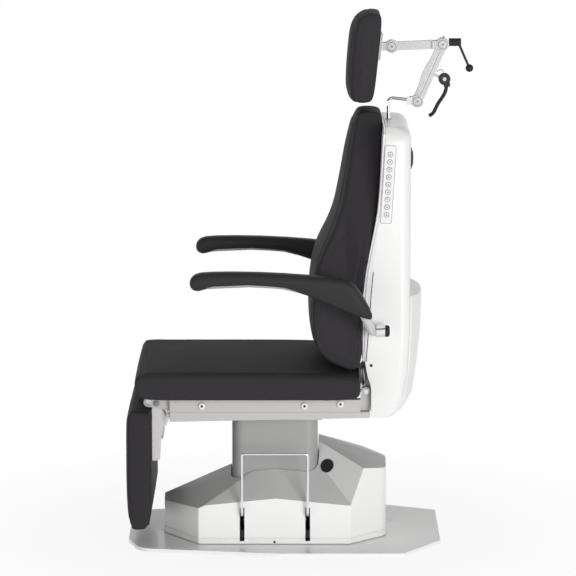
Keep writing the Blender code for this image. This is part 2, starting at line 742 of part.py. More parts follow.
def hinge_lugs(side, material):
    """Front and rear lug of one rail, each with a bore for its hinge shaft."""
    x, z = LEG_PIVOT
    overlap = 0.010
    bottom = RAIL_SPLIT + 0.001
    front = [(x - 0.013, z + 0.010, 0.010), (x - 0.013, z - 0.013, 0.012), (x + 0.016, z - 0.014, 0.004),
             (RAIL_FRONT - SEAT_GAP, bottom, 0.001), (RAIL_FRONT + overlap, bottom, 0.001),
             (RAIL_FRONT + overlap, z + 0.008, 0.001), (RAIL_FRONT - SEAT_GAP, z + 0.0088, 0.001)]
    x_back, z_back = BACK_PIVOT
    rear = [(UPPER_RAIL_REAR - overlap, bottom, 0.001), (RAIL_REAR, bottom, 0.001),
            (x_back + 0.013, z_back - 0.004, 0.006), (x_back + 0.011, z_back + 0.013, 0.008),
            (x_back - 0.0125, z_back + 0.013, 0.010), (UPPER_RAIL_REAR + SEAT_GAP, z_back - 0.016, 0.002),
            (UPPER_RAIL_REAR + SEAT_GAP, UPPER_RAIL_TOP - 0.002, 0.001),
            (UPPER_RAIL_REAR - overlap, UPPER_RAIL_TOP - 0.002, 0.001)]
    limits = band(side, LUG_IN, LUG_OUT)
    return [flat_piece("lug", [rounded(outline, 2), circle(pivot, SHAFT_R + RUN_GAP)], *limits, material,
                       SIDEWAYS)
            for outline, pivot in ((front, LEG_PIVOT), (rear, BACK_PIVOT))]


def make_recline_actuator(paints):
    rear = REAR_BAR_X - CROSS_BAR_LENGTH / 2 - SEAT_GAP
    length = rear - ACTUATOR_FRONT
    bore = ACTUATOR_ROD_R + RUN_GAP
    body = turned("recline_actuator", [(ACTUATOR_R, length), (ACTUATOR_R, 0.0), (bore, 0.0),
                                       (bore, length - 0.020),
                                       (0.0, length - 0.020), (0.0, length)],
                  along_x(ACTUATOR_FRONT, 0, PUSH_BAR_Z), paints["black"], steps=20)
    return join(body, box("motor", (rear - 0.060, ACTUATOR_R - 0.006, PUSH_BAR_Z - 0.017),
                          (rear - 0.004, 0.070, PUSH_BAR_Z + 0.010), paints["black"]))


def make_push_frame(paints):
    """Two bars with upright slots that tie the backrest levers to the leg rest levers."""
    steel = paints["steel"]
    leg, back = lever_pin(LEG_PIVOT), lever_pin(BACK_PIVOT)
    dip = LEVER_R * (1 - math.cos(FOLD_ANGLE / 2))
    half = LEVER_PIN_R + SLOT_PLAY
    low, high = PUSH_BAR_Z - PUSH_BAR_HALF, PUSH_BAR_Z + PUSH_BAR_HALF
    rim = 0.007

    def slot(pin):
        top, bottom = pin[1] + half, pin[1] - dip - half
        return rounded([(pin[0] + half, bottom, half * 0.98), (pin[0] + half, top, half * 0.98),
                        (pin[0] - half, top, half * 0.98), (pin[0] - half, bottom, half * 0.98)], steps=4)
    edge = half + rim
    outline = rounded([(leg[0] - edge, leg[1] - dip - edge, 0.006),
                       (leg[0] + edge, leg[1] - dip - edge, 0.006),
                       (leg[0] + edge + 0.020, low, 0.006), (back[0] - edge - 0.010, low, 0.004),
                       (back[0] - edge, back[1] - dip - edge, 0.004),
                       (back[0] + edge, back[1] - dip - edge, 0.006),
                       (back[0] + edge, back[1] + edge, 0.006), (back[0] - edge - 0.010, high, 0.004),
                       (leg[0] + edge + 0.030, high, 0.006), (leg[0] - half, leg[1] + edge, 0.005),
                       (leg[0] - edge, leg[1], 0.004)], steps=3)
    bars = [flat_piece(f"bar_{k}", [outline, slot(leg), slot(back)], *band(side, *PUSH_BAND), steel, SIDEWAYS)
            for k, side in enumerate((-1, 1))]
    reach = PUSH_BAND[0] + 0.003
    cross = rod("push_frame", (PUSH_TUBE_X, -reach, PUSH_BAR_Z), (PUSH_TUBE_X, reach, PUSH_BAR_Z),
                PUSH_TUBE_R * 0.85,
                steel, 16)
    join(cross, *bars)
    start = PUSH_TUBE_X + PUSH_TUBE_R * 0.85 + SEAT_GAP
    rod("actuator_rod", (start, 0, PUSH_BAR_Z), (ACTUATOR_FRONT + 0.150, 0, PUSH_BAR_Z), ACTUATOR_ROD_R,
        steel, 16)


# Leg rest


def make_leg_rest(paints):
    front, back = LEG_FRONT, LEG_BACK
    crown = LEG_CROWN
    profile = [(front + 0.015, LEG_BOTTOM), (back - 0.009, LEG_BOTTOM), (back - 0.003, LEG_BOTTOM + 0.008),
               (back, LEG_BOTTOM + 0.060), (back, 0.28), (back, LEG_TOP - 0.010), (back - 0.006, LEG_TOP),
               (front + 0.014, LEG_TOP), (front + 0.004, LEG_TOP - 0.006),
               (front, LEG_TOP - 0.028, 0.5 * crown),
               (front, 0.28, crown), (front, LEG_BOTTOM + 0.080, crown),
               (front + 0.007, LEG_BOTTOM + 0.009, 0.4 * crown)]
    sweep_profile("leg_cushion", profile, lambda z: LEG_HALF_WIDTH, 0.012, paints["hide"], draw=0.003)
    x = back + SEAT_GAP
    board = flat_piece("leg_board", [rounded([(x, LEG_BOTTOM + 0.012), (x + 0.006, LEG_BOTTOM + 0.014),
                                              (x + LEG_BOARD_THICK, LEG_BOTTOM + 0.060),
                                              (x + LEG_BOARD_THICK, LEG_TOP - 0.004), (x, LEG_TOP - 0.004)])],
                       -(LEG_HALF_WIDTH - 0.012), LEG_HALF_WIDTH - 0.012, paints["black"], SIDEWAYS)
    shade_round(board)

    pivot, pin = LEG_PIVOT, lever_pin(LEG_PIVOT)
    strip = x + LEG_BOARD_THICK + SEAT_GAP
    outline = rounded([(strip, LEG_STRIP_BOTTOM, 0.001),
                       (strip + LEG_STRIP_DEPTH - 0.004, LEG_STRIP_BOTTOM, 0.006),
                       (strip + LEG_STRIP_DEPTH, 0.310, 0.010), (pin[0] + 0.010, pin[1] - 0.010, 0.008),
                       (pin[0] + 0.014, pin[1] + 0.008, 0.008), (pivot[0] + 0.018, pivot[1] + 0.009, 0.008),
                       (pivot[0] - 0.004, pivot[1] + EYE_R, 0.012), (pivot[0] - EYE_R, pivot[1], 0.010),
                       (pivot[0] - 0.006, LEG_TOP - 0.004 + SEAT_GAP + 0.001, 0.002),
                       (strip, LEG_TOP - 0.004 + SEAT_GAP + 0.001, 0.0005)], steps=3)

    half = PLATE_BAND[0] + 0.004
    bracket = box("leg_bracket", (strip, -half, LEG_STRIP_BOTTOM + 0.002),
                  (strip + 0.006, half, LEG_STRIP_BOTTOM + 0.042),
                  paints["rail"])
    for side in (-1, 1):
        plate = flat_piece("plate", [outline, circle(pivot, SHAFT_R + RUN_GAP)], *band(side, *PLATE_BAND),
                           paints["rail"],
                           SIDEWAYS)
        reach = (side * (PUSH_BAND[0] - 0.002), side * (PLATE_BAND[0] + 0.004))
        join(plate, rod("pin", (pin[0], reach[0], pin[1]), (pin[0], reach[1], pin[1]), LEVER_PIN_R,
                        paints["rail"], 12))
        join(bracket, plate)


# Backrest

BACK_REAR_LINE = [(0.2405, 0.56), (0.2405, 0.65), (0.239, 0.705), (0.249, 0.783), (0.2575, 0.827),
                  (0.270, 0.888),
                  (0.281, 0.944), (0.286, 0.999), (0.290, 1.066), (0.294, 1.149), (0.298, 1.189)]
# x, z and crown of the side panel's front edge
BACK_FRONT_LINE = [(0.220, 1.161, 0.012), (0.2095, 1.099, 0.016), (0.2025, 1.043, 0.018),
                   (0.191, 0.981, 0.018),
                   (0.180, 0.938, 0.016), (0.163, 0.893, 0.014), (0.147, 0.861, 0.013), (0.129, 0.827, 0.012),
                   (0.1125, 0.780, 0.011), (0.104, 0.705, 0.010), (0.1035, 0.630, 0.009),
                   (0.1095, 0.572, 0.004),
                   (0.137, 0.5385)]


def back_half_width(z):
    """The backrest cushion narrows above the armrests."""
    start = 0.78
    share = min(max((z - start) / (BACK_TOP - start), 0.0), 1.0)
    return BACK_HALF_WIDTH + (BACK_TOP_HALF_WIDTH - BACK_HALF_WIDTH) * share


def pan_line(offset):
    """Line behind the rounded cushion, between the pan's lower and upper edge, moved back by offset."""
    points = [Vector(p) for p in BACK_REAR_LINE]
    soft = [0.75 * b + 0.125 * (a + c) for a, b, c in zip(points, points[1:], points[2:])]
    soft = [points[0], *soft, points[-1]]

    def x_at(z):
        for a, b in zip(soft, soft[1:]):
            if a.y <= z <= b.y:
                return a.x + (b.x - a.x) * (z - a.y) / (b.y - a.y)
        return soft[0].x if z < soft[0].y else soft[-1].x
    heights = [PAN_BOTTOM, *[p.y for p in soft[1:-1]], PAN_TOP]
    return [Vector((x_at(z) + 0.0008 + offset, z)) for z in heights]


SHELL_HEIGHTS = [SHELL_BOTTOM, 0.380, 0.398, 0.420, 0.450, 0.468, 0.484, 0.500, 0.530, 0.600, 0.650, 0.708,
                 0.779,
                 0.829, 0.887, 0.944, 1.000, 1.068, SHELL_SHOULDER]
SHELL_REAR_LINE = [(SHELL_BOTTOM, 0.320), (0.380, 0.333), (0.398, 0.343), (0.420, 0.353), (0.450, 0.359),
                   (0.500, 0.366), (0.600, SHELL_REAR)]
SHELL_NOTCH = [(SHELL_BOTTOM, SHELL_FRONT_LOW), (0.450, SHELL_FRONT_LOW), (0.468, 0.262), (0.484, 0.256),
               (0.500, 0.2525)]


def along_line(line, z):
    """Value at height z on a line of (height, value) points, constant beyond its ends."""
    for (z_low, low), (z_high, high) in zip(line, line[1:]):
        if z_low <= z <= z_high:
            return low + (high - low) * (z - z_low) / (z_high - z_low)
    return line[0][1] if z < line[0][0] else line[-1][1]


def shell_section(z, wall, front_line):
    """Plan section of the shell at one height, from the left front edge round to the right one."""
    radius = SHELL_EDGE - wall
    top = SHELL_TOP - wall
    share = min(max((z - SHELL_SHOULDER) / (SHELL_TOP - SHELL_SHOULDER), 0.0), 1.0)
    width = SHELL_HALF_WIDTH - (SHELL_HALF_WIDTH - SHELL_TOP_HALF_WIDTH) * share * share - wall
    rise = min(max(z - (top - radius), 0.0), radius)
    rear = along_line(SHELL_REAR_LINE, z) - wall - radius + math.sqrt(radius * radius - rise * rise)
    half = [Vector((along_line(front_line, z), -width))]
    for angle in (0, 30, 60, 90):
        turn = math.radians(angle)
        half.append(Vector((rear - radius * (1 - math.sin(turn)), -width + radius * (1 - math.cos(turn)))))
    return half + [Vector((p.x, -p.y)) for p in reversed(half)]


def make_back_shell(paints):
    """Rear shell as a loft of plan sections: outer and inner wall, open to the front and to the bottom."""
    white = paints["white"]
    front_line = SHELL_NOTCH + [(p.y, p.x) for p in pan_line(PAN_THICK + SEAT_GAP)]
    bm = bmesh.new()
    walls = []
    for wall in (0.0, SHELL_WALL):
        top = SHELL_TOP - wall
        radius = SHELL_EDGE - wall
        arc = [top - radius * (1 - math.sin(math.radians(a))) for a in (0, 25, 50, 72, 90)]
        walls.append([[bm.verts.new((p.x, p.y, z)) for p in shell_section(z, wall, front_line)]
                      for z in [*SHELL_HEIGHTS, *arc]])
    outer, inner = walls
    for rows in walls:
        for low, high in zip(rows, rows[1:]):
            for k in range(len(low) - 1):
                bm.faces.new((low[k], low[k + 1], high[k + 1], high[k]))
        bm.faces.new(rows[-1])
    for k in range(len(outer[0]) - 1):
        bm.faces.new((outer[0][k], outer[0][k + 1], inner[0][k + 1], inner[0][k]))
    for end in (0, -1):
        for k in range(len(outer) - 1):
            bm.faces.new((outer[k][end], outer[k + 1][end], inner[k + 1][end], inner[k][end]))
    bm.faces.new((outer[-1][0], outer[-1][-1], inner[-1][-1], inner[-1][0]))
    bmesh.ops.triangulate(bm, faces=bm.faces)
    shell = make_object("back_shell", bm, white)
    cut(shell, rod("mast_hole", (MAST_X, 0, SHELL_TOP - 0.03), (MAST_X, 0, SHELL_TOP + 0.01),
                   MAST_R + 0.0015, white, 12),
        rod("stem_hole", (SHELL_REAR - 0.02, 0, KNOB_Z), (SHELL_REAR + 0.01, 0, KNOB_Z),
            KNOB_STEM_R + RUN_GAP, white,
            12))
    shade_round(shell, 30)

    front, rear = pan_line(0.0), pan_line(PAN_THICK)
    pan = flat_piece("back_pan", [[*front, *reversed(rear)]], -SHELL_HALF_WIDTH + 0.002,
                     SHELL_HALF_WIDTH - 0.002,
                     paints["pan"], SIDEWAYS)
    shade_round(pan)
    make_motor_cover(paints["shadow_white"])


def make_motor_cover(material):
    """Bulge on the rear of the shell: a closed grid whose depth fades out to its rim."""
    depths = [(0.376, 0.029), (0.380, 0.029), (0.398, 0.031), (0.420, 0.031), (0.450, 0.030), (0.500, 0.030),
              (0.600, 0.034), (BULGE_TOP - 0.012, BULGE_DEPTH), (BULGE_TOP - 0.002, BULGE_DEPTH - 0.001),
              (BULGE_TOP, BULGE_DEPTH - 0.005)]
    profile = [(along_line(SHELL_REAR_LINE, z), z, depth) for z, depth in depths]
    across = [-1.0, -0.97, -0.85, -0.6, -0.3, 0.0, 0.3, 0.6, 0.85, 0.97, 1.0]
    face = 2 * SEAT_GAP
    bm = bmesh.new()
    rear, front = [], []
    for x, z, depth in profile:
        rear.append([])
        front.append([])
        for u in across:
            y = u * BULGE_HALF_WIDTH
            swell = 0.004 + (depth - 0.004) * (1 - abs(u) ** 2.5)
            rear[-1].append(bm.verts.new((x + face + swell, y, z)))
            front[-1].append(bm.verts.new((x + face, y, z)))
    for grid in (rear, front):
        for low, high in zip(grid, grid[1:]):
            for k in range(len(across) - 1):
                bm.faces.new((low[k], low[k + 1], high[k + 1], high[k]))
    rim_rear = [*rear[0], *[row[-1] for row in rear[1:]], *reversed(rear[-1][:-1]),
                *[row[0] for row in rear[-2:0:-1]]]
    rim_front = [*front[0], *[row[-1] for row in front[1:]], *reversed(front[-1][:-1]),
                 *[row[0] for row in front[-2:0:-1]]]
    for k, _ in enumerate(rim_rear):
        after = (k + 1) % len(rim_rear)
        bm.faces.new((rim_rear[k], rim_rear[after], rim_front[after], rim_front[k]))
    return shade_round(make_object("motor_cover", bm, material), 40)


def make_back_cushion(material):
    profile = [*BACK_FRONT_LINE[-1:], (0.192, BACK_BOTTOM + 0.006), (0.234, BACK_BOTTOM), *BACK_REAR_LINE,
               (0.290, BACK_TOP), (0.237, BACK_TOP, 0.003), (0.2265, BACK_TOP - 0.008, 0.006),
               *BACK_FRONT_LINE[:-1]]
    return sweep_profile("back_cushion", profile, back_half_width, 0.014, material)


def make_back_frame(paints):
    """Hinge plates with their levers and uprights, tied by two cross bars that hold the mast guide."""
    steel = paints["rail"]
    x, z = BACK_PIVOT
    pin = lever_pin(BACK_PIVOT)
    front, rear = UPRIGHT_FRONT, UPRIGHT_FRONT + UPRIGHT_DEPTH
    outline = rounded([(x - 0.0135, z - 0.010, 0.008), (pin[0] - 0.012, pin[1] - 0.008, 0.008),
                       (pin[0] + 0.010, pin[1] + 0.004, 0.008), (x + 0.020, z + 0.004, 0.004),
                       (rear, z + 0.105, 0.010), (rear, UPRIGHT_TOP, 0.004), (front, UPRIGHT_TOP, 0.004),
                       (front, z + 0.125, 0.010), (x - 0.009, z + 0.013, 0.010)], steps=3)
    plates = []
    for k, side in enumerate((-1, 1)):
        plate = flat_piece(f"plate_{k}", [outline, circle(BACK_PIVOT, SHAFT_R + RUN_GAP)],
                           *band(side, *PLATE_BAND),
                           steel, SIDEWAYS)
        ends = (side * (PUSH_BAND[0] - 0.002), side * (PLATE_BAND[0] + 0.004))
        plates.append(join(plate, rod("pin", (pin[0], ends[0], pin[1]), (pin[0], ends[1], pin[1]),
                                      LEVER_PIN_R, steel, 12)))
    frame = None
    half = PLATE_BAND[0] + 0.004
    for k, height in enumerate(GUIDE_BAR_HEIGHTS):
        bar = box("back_frame" if k == 0 else "bar", (front + 0.002, -half, height - 0.011),
                  (rear - 0.002, half, height + 0.011), steel)
        cut(bar, rod("bore", (MAST_X, 0, height - 0.02), (MAST_X, 0, height + 0.02), GUIDE_R + RUN_GAP,
                     steel, 16))
        frame = bar if frame is None else join(frame, plates.pop(), plates.pop(), bar)
    return frame


def make_keypad(paints):
    x, z = PANEL_CENTRE
    face = -SHELL_HALF_WIDTH - SEAT_GAP
    along = Vector((math.sin(PANEL_TILT), math.cos(PANEL_TILT)))
    steps = [k - (KEY_COUNT - 1) / 2 for k in reversed(range(KEY_COUNT))]
    centres = [Vector((x, z)) + along * KEY_PITCH * step for step in steps]
    half_w, half_l = PANEL_WIDTH / 2, PANEL_LENGTH / 2
    turn = Matrix.Rotation(-PANEL_TILT, 2)
    rim = [Vector((x, z)) + turn @ p for p in rounded([(half_w, -half_l, 0.006), (half_w, half_l, 0.006),
                                                       (-half_w, half_l, 0.006), (-half_w, -half_l, 0.006)],
                                                      steps=3)]
    holes = [circle(c, KEY_R + KEY_GAP, 12) for c in centres]
    flat_piece("keypad_panel", [rim, *holes], face - PANEL_THICK, face, paints["panel"], SIDEWAYS)
    for number, centre in enumerate(centres, start=1):
        top = face - PANEL_THICK - KEY_PROUD
        rod(f"key_{number}", (centre.x, top, centre.y), (centre.x, face - KEY_TRAVEL, centre.y), KEY_R,
            paints["key"], 12)


def make_backrest(paints):
    make_back_cushion(paints["hide"])
    make_back_shell(paints)
    make_back_frame(paints)
    make_keypad(paints)

    for side, word in ((-1, "left"), (1, "right")):
        y = side * ARM_AXIS_Y
        ring = rod(f"arm_collar_{word}", (COLLAR_FRONT, y, ARM_AXIS_Z), (COLLAR_REAR, y, ARM_AXIS_Z),
                   COLLAR_R,
                   paints["rail"], 24)
        foot = sorted((side * (SHELL_HALF_WIDTH + SEAT_GAP), side * (ARM_AXIS_Y - 0.008)))
        join(ring, box("foot", (COLLAR_FRONT + 0.002, foot[0], ARM_AXIS_Z - 0.012),
                       (COLLAR_REAR - 0.002, foot[1], ARM_AXIS_Z + 0.012), paints["rail"]))
        cut(ring, rod("bore", (COLLAR_FRONT - 0.01, y, ARM_AXIS_Z), (COLLAR_REAR + 0.01, y, ARM_AXIS_Z),
                      ARM_TUBE_R + RUN_GAP, paints["rail"], 24))

    wall = [(GUIDE_R, GUIDE_TOP), (GUIDE_R, GUIDE_BOTTOM), (MAST_R + RUN_GAP, GUIDE_BOTTOM),
            (MAST_R + RUN_GAP, GUIDE_TOP)]
    turned("mast_guide", wall, Matrix.Translation((MAST_X, 0, 0)), paints["steel"], steps=16)


def make_knob(paints):
    stem = MAST_X + GUIDE_R + SEAT_GAP
    base = SHELL_REAR + SEAT_GAP - stem
    profile = [(0.0, base + KNOB_DEPTH), (KNOB_R * 0.60, base + KNOB_DEPTH * 0.93),
               (KNOB_R * 0.9, base + KNOB_DEPTH * 0.6),
               (KNOB_R, base), (KNOB_STEM_R, base), (KNOB_STEM_R, 0.0), (0.0, 0.0)]
    turned("mast_knob", profile, along_x(stem, 0, KNOB_Z), paints["black"], steps=24)


# Armrests


def mirror(obj):
    """Turn a piece over to the other side of the middle plane."""
    bm = bmesh.new()
    bm.from_mesh(obj.data)
    bmesh.ops.scale(bm, vec=(1, -1, 1), verts=bm.verts)
    bmesh.ops.reverse_faces(bm, faces=bm.faces)
    bm.to_mesh(obj.data)
    bm.free()


def make_armrests(paints):
    # x and the drop below the pad's top, from the underside of the tip round the rear to the front
    outline = [(-0.214, 0.0535), (-0.196, 0.05), (-0.178, 0.0425), (-0.07, 0.038), (0.028, 0.044),
               (0.101, 0.067), (0.17, 0.097), (0.256, 0.1345), (0.2735, 0.128), (0.242, 0.0695),
               (0.216, 0.031), (0.198, 0.021), (0.101, 0.009), (-0.04, 0), (-0.19, 0), (-0.218, 0.006),
               (-0.232, 0.024), (-0.229, 0.044)]
    profile = [(x, ARM_TOP - drop) for x, drop in outline]
    for word in ("left", "right"):
        pad = settle(sweep_profile(f"armrest_pad_{word}", profile, lambda z: ARM_HALF_WIDTH, 0.014,
                                   paints["arm"],
                                   middle=ARM_Y, inner=(0.0,)))
        pad_end = Vector((0.222, ARM_Y, ARM_TOP - 0.091))
        pull_out = Vector((0.262, ARM_Y, ARM_TOP - 0.132))
        pull_in = Vector((COLLAR_FRONT - 0.021, ARM_AXIS_Y, ARM_AXIS_Z))
        arrival = Vector((COLLAR_FRONT - 0.006, ARM_AXIS_Y, ARM_AXIS_Z))
        path = geometry.interpolate_bezier(pad_end, pull_out, pull_in, arrival, 10)
        path.append(Vector((ARM_TUBE_END, ARM_AXIS_Y, ARM_AXIS_Z)))
        deeper = path[0] + (path[0] - path[1]).normalized() * SEAT_GAP
        bore = tube("bore", [deeper, *path[1:]], ARM_TUBE_R + RUN_GAP, paints["arm"], resolution=3)
        cut(pad, bore)
        bar = tube(f"armrest_tube_{word}", path, ARM_TUBE_R, paints["white"], resolution=3)
        if word == "left":
            mirror(pad)
            mirror(bar)


# Headrest


def cheeks(name, joint, neck, material):
    """Two round cheeks on a joint with the pin between them, and a neck towards a point."""
    inner = ARM_HALF_THICK + CHEEK_GAP
    outer = inner + CHEEK_THICK
    pieces = []
    run = (Vector(neck) - Vector(joint)).normalized()
    side_step = Vector((-run.y, run.x)) * JOINT_R * 0.62
    tip = Vector(joint) + run * (JOINT_R + 0.006)
    outline = circle(joint, JOINT_R, 24)
    for k, side in enumerate((-1, 1)):
        limits = band(side, inner, outer)
        disc = flat_piece(f"{name}_cheek_{k}", [outline], *limits, material, SIDEWAYS)
        centre = Vector(joint)
        arm = [centre + side_step, centre - side_step, tip - side_step, tip + side_step]
        shy = (limits[0] + 0.0004, limits[1] - 0.0004)
        join(disc, flat_piece("neck", [arm], *shy, material, SIDEWAYS))
        pieces.append(disc)
    near = Vector(joint) + run * (JOINT_R + 0.004)
    bridge_low, bridge_high = near, near + run * 0.008
    bridge = [bridge_low + side_step * 0.95, bridge_low - side_step * 0.95, bridge_high - side_step * 0.95,
              bridge_high + side_step * 0.95]
    block = flat_piece(name, [bridge], -outer + 0.0008, outer - 0.0008, material, SIDEWAYS)
    join(block, *pieces)
    return join(block, rod("pin", (joint[0], -outer + 0.001, joint[1]), (joint[0], outer - 0.001, joint[1]),
                           JOINT_PIN_R,
                           material, 16))


def make_headrest(paints):
    alloy, black, chrome = paints["alloy"], paints["black"], paints["chrome"]

    mast = cheeks("head_mast", LOW_JOINT, (MAST_X, MAST_BEND_Z - 0.004), chrome)
    bend = 0.012
    path = [Vector((MAST_X, 0, MAST_BOTTOM)), Vector((MAST_X, 0, GUIDE_TOP)),
            Vector((MAST_X, 0, MAST_BEND_Z - bend))]
    path += [Vector((MAST_X + bend * (1 - math.cos(a)), 0, MAST_BEND_Z - bend * (1 - math.sin(a))))
             for a in (math.radians(30), math.radians(60), math.radians(90))]
    path += [Vector((LOW_JOINT[0] - JOINT_R - 0.006, 0, LOW_JOINT[1] + 0.003))]
    join(mast, tube("mast_rod", path, MAST_R, chrome))

    low, high = Vector(LOW_JOINT), Vector(ELBOW)
    run = (high - low).normalized()
    across = Vector((run.y, -run.x))
    half = JOINT_R * 0.78
    body = [low + across * half, low - across * half, high - across * half, high + across * half]
    mid = low + (high - low) * 0.5
    swell = mid - across * (half + 0.004)
    body = [body[0], body[1], mid - run * 0.045 - across * half, swell - run * 0.02, swell + run * 0.012,
            mid + run * 0.03 - across * half, body[2], body[3]]
    arm = flat_piece("lower_arm", [body], -ARM_HALF_THICK + 0.0004, ARM_HALF_THICK - 0.0004, alloy, SIDEWAYS)
    for joint in (LOW_JOINT, ELBOW):
        join(arm, flat_piece("eye", [circle(joint, JOINT_R - 0.0004, 24)], -ARM_HALF_THICK, ARM_HALF_THICK,
                             alloy, SIDEWAYS))
    slit_low, slit_high = low + run * (JOINT_R + 0.006), high - run * (JOINT_R + 0.006)
    slit = [slit_low + across * ARM_SLIT / 2, slit_low - across * ARM_SLIT / 2,
            slit_high - across * ARM_SLIT / 2,
            slit_high + across * ARM_SLIT / 2]
    reach = 2 * ARM_HALF_THICK
    for joint in (LOW_JOINT, ELBOW):
        cut(arm, rod("bore", (joint[0], -reach, joint[1]), (joint[0], reach, joint[1]),
                     JOINT_PIN_R + RUN_GAP, alloy, 16))
    cut(arm, flat_piece("slit", [slit], -reach, reach, alloy, SIDEWAYS))
    make_cam(arm, across, half, low, run, paints)

    upper = cheeks("upper_arm", ELBOW, HEAD_JOINT, alloy)
    start, end = Vector(ELBOW), Vector(HEAD_JOINT)
    way = (end - start).normalized()
    square = Vector((way.y, -way.x))
    first = start + way * (JOINT_R + 0.006)
    bar = [first + square * 0.012, first - square * 0.012, end - square * 0.0115, end + square * 0.0115]
    join(upper, flat_piece("bar", [bar], -ARM_HALF_THICK + 0.002, ARM_HALF_THICK - 0.002, alloy, SIDEWAYS))
    join(upper, flat_piece("eye", [circle(HEAD_JOINT, JOINT_R - 0.0004, 24)], -ARM_HALF_THICK,
                           ARM_HALF_THICK, alloy,
                           SIDEWAYS))
    cut(upper, rod("bore", (HEAD_JOINT[0], -reach, HEAD_JOINT[1]), (HEAD_JOINT[0], reach, HEAD_JOINT[1]),
                   JOINT_PIN_R + RUN_GAP, alloy, 16))

    hub_z = ELBOW[1] + 0.005
    hub = rod("clamp_lever", (ELBOW[0] + JOINT_R + SEAT_GAP, 0, hub_z), (CLAMP_END, 0, hub_z), CLAMP_R,
              black, 16)
    ball = Vector((CLAMP_BALL[0], 0, CLAMP_BALL[1]))
    join(hub, rod("lever", (CLAMP_END - 0.006, 0, hub_z - 0.004), ball, 0.0034, black, 10))
    bm = bmesh.new()
    bmesh.ops.create_uvsphere(bm, u_segments=12, v_segments=8, radius=CLAMP_BALL_R,
                              matrix=Matrix.Translation(ball))
    shade_round(join(hub, make_object("ball", bm, black)))
    make_head_pad(paints)


def make_cam(arm, across, half, low, run, paints):
    """Stud on the lower arm and the cam lever that turns on it."""
    alloy, black = paints["alloy"], paints["black"]
    eye = Vector(CAM_EYE)
    along = (eye - low).dot(run)
    root = low + run * along + across * (half - 0.004)
    centre = Vector((eye.x, 0, eye.y))
    join(arm, rod("stud", (root.x, 0, root.y), (eye.x - 0.004, 0, eye.y), 0.0034, alloy, 10))
    join(arm, flat_piece("stud_eye", [circle(CAM_EYE, 0.0095, 16)], -0.0038, 0.0038, alloy, SIDEWAYS))
    join(arm, rod("stud_pin", centre - Vector((0, 0.0095, 0)), centre + Vector((0, 0.0095, 0)), CAM_PIN_R,
                  alloy, 12))

    tip = Vector(CAM_TIP)
    neck = eye + Vector((0.0065, -0.017))
    bend = eye + Vector((0.001, -0.040))
    route = [neck, bend, Vector((0.452, 1.218)), Vector((0.440, 1.194)), tip]
    path = [Vector((p.x, 0, p.y)) for p in smooth_path([Vector((*p, 0.0)) for p in route], steps=4)]
    lever = tube("cam_lever", path, 0.0052, black)
    discs = []
    for k, side in enumerate((-1, 1)):
        limits = band(side, 0.0042, 0.0088)
        discs.append(flat_piece(f"disc_{k}", [circle(CAM_EYE, CAM_EYE_R, 20),
                                              circle(CAM_EYE, CAM_PIN_R + RUN_GAP, 12)],
                                *limits, black, SIDEWAYS))
    yoke_x = (eye.x - 0.002, eye.x + 0.0155)
    yoke = box("yoke", (yoke_x[0], -0.0080, eye.y - 0.021), (yoke_x[1], 0.0080, eye.y - 0.0105), black)
    return join(lever, yoke, *discs)


def make_head_pad(paints):
    bottom, top = HEAD_BOTTOM, HEAD_TOP
    height = top - bottom
    slope = 0.0977

    def rear(z):
        return HEAD_REAR + slope * (z - bottom)

    def front(share):
        return HEAD_FRONT + HEAD_LEAN * share ** 2.2, bottom + share * height, crown
    crown = HEAD_CROWN
    profile = [(HEAD_FRONT + 0.015, bottom, 0.3 * crown), (rear(bottom) - 0.010, bottom),
               (rear(bottom), bottom + 0.012),
               (rear(bottom + 0.35 * height), bottom + 0.35 * height),
               (rear(top - 0.40 * height), top - 0.40 * height),
               (rear(top - 0.012), top - 0.012), (rear(top) - 0.009, top),
               (HEAD_FRONT + HEAD_LEAN + 0.026, top, 0.2 * crown),
               (HEAD_FRONT + HEAD_LEAN + 0.012, top - 0.007, 0.5 * crown), front(0.91), front(0.72),
               front(0.45),
               front(0.18), (HEAD_FRONT + 0.001, bottom + 0.010, 0.7 * crown)]
    sweep_profile("head_cushion", profile, lambda z: HEAD_HALF_WIDTH, 0.016, paints["hide"])
    bracket = cheeks("head_bracket", HEAD_JOINT, (rear(HEAD_JOINT[1]), HEAD_JOINT[1]), paints["alloy"])
    low, high = HEAD_JOINT[1] - 0.034, HEAD_JOINT[1] + 0.036
    plate = [(rear(low) + 0.0008, low), (rear(low) + 0.0068, low), (rear(high) + 0.0068, high),
             (rear(high) + 0.0008, high)]
    join(bracket, flat_piece("back_plate", [plate], -0.050, 0.050, paints["alloy"], SIDEWAYS))
    stop = rear(HEAD_JOINT[1]) + 0.004
    reach = HEAD_JOINT[0] - JOINT_R - 0.004
    return join(bracket, box("web", (stop, -0.014, HEAD_JOINT[1] - 0.0095),
                             (reach, 0.014, HEAD_JOINT[1] + 0.0095),
                             paints["alloy"]))


# Assembly


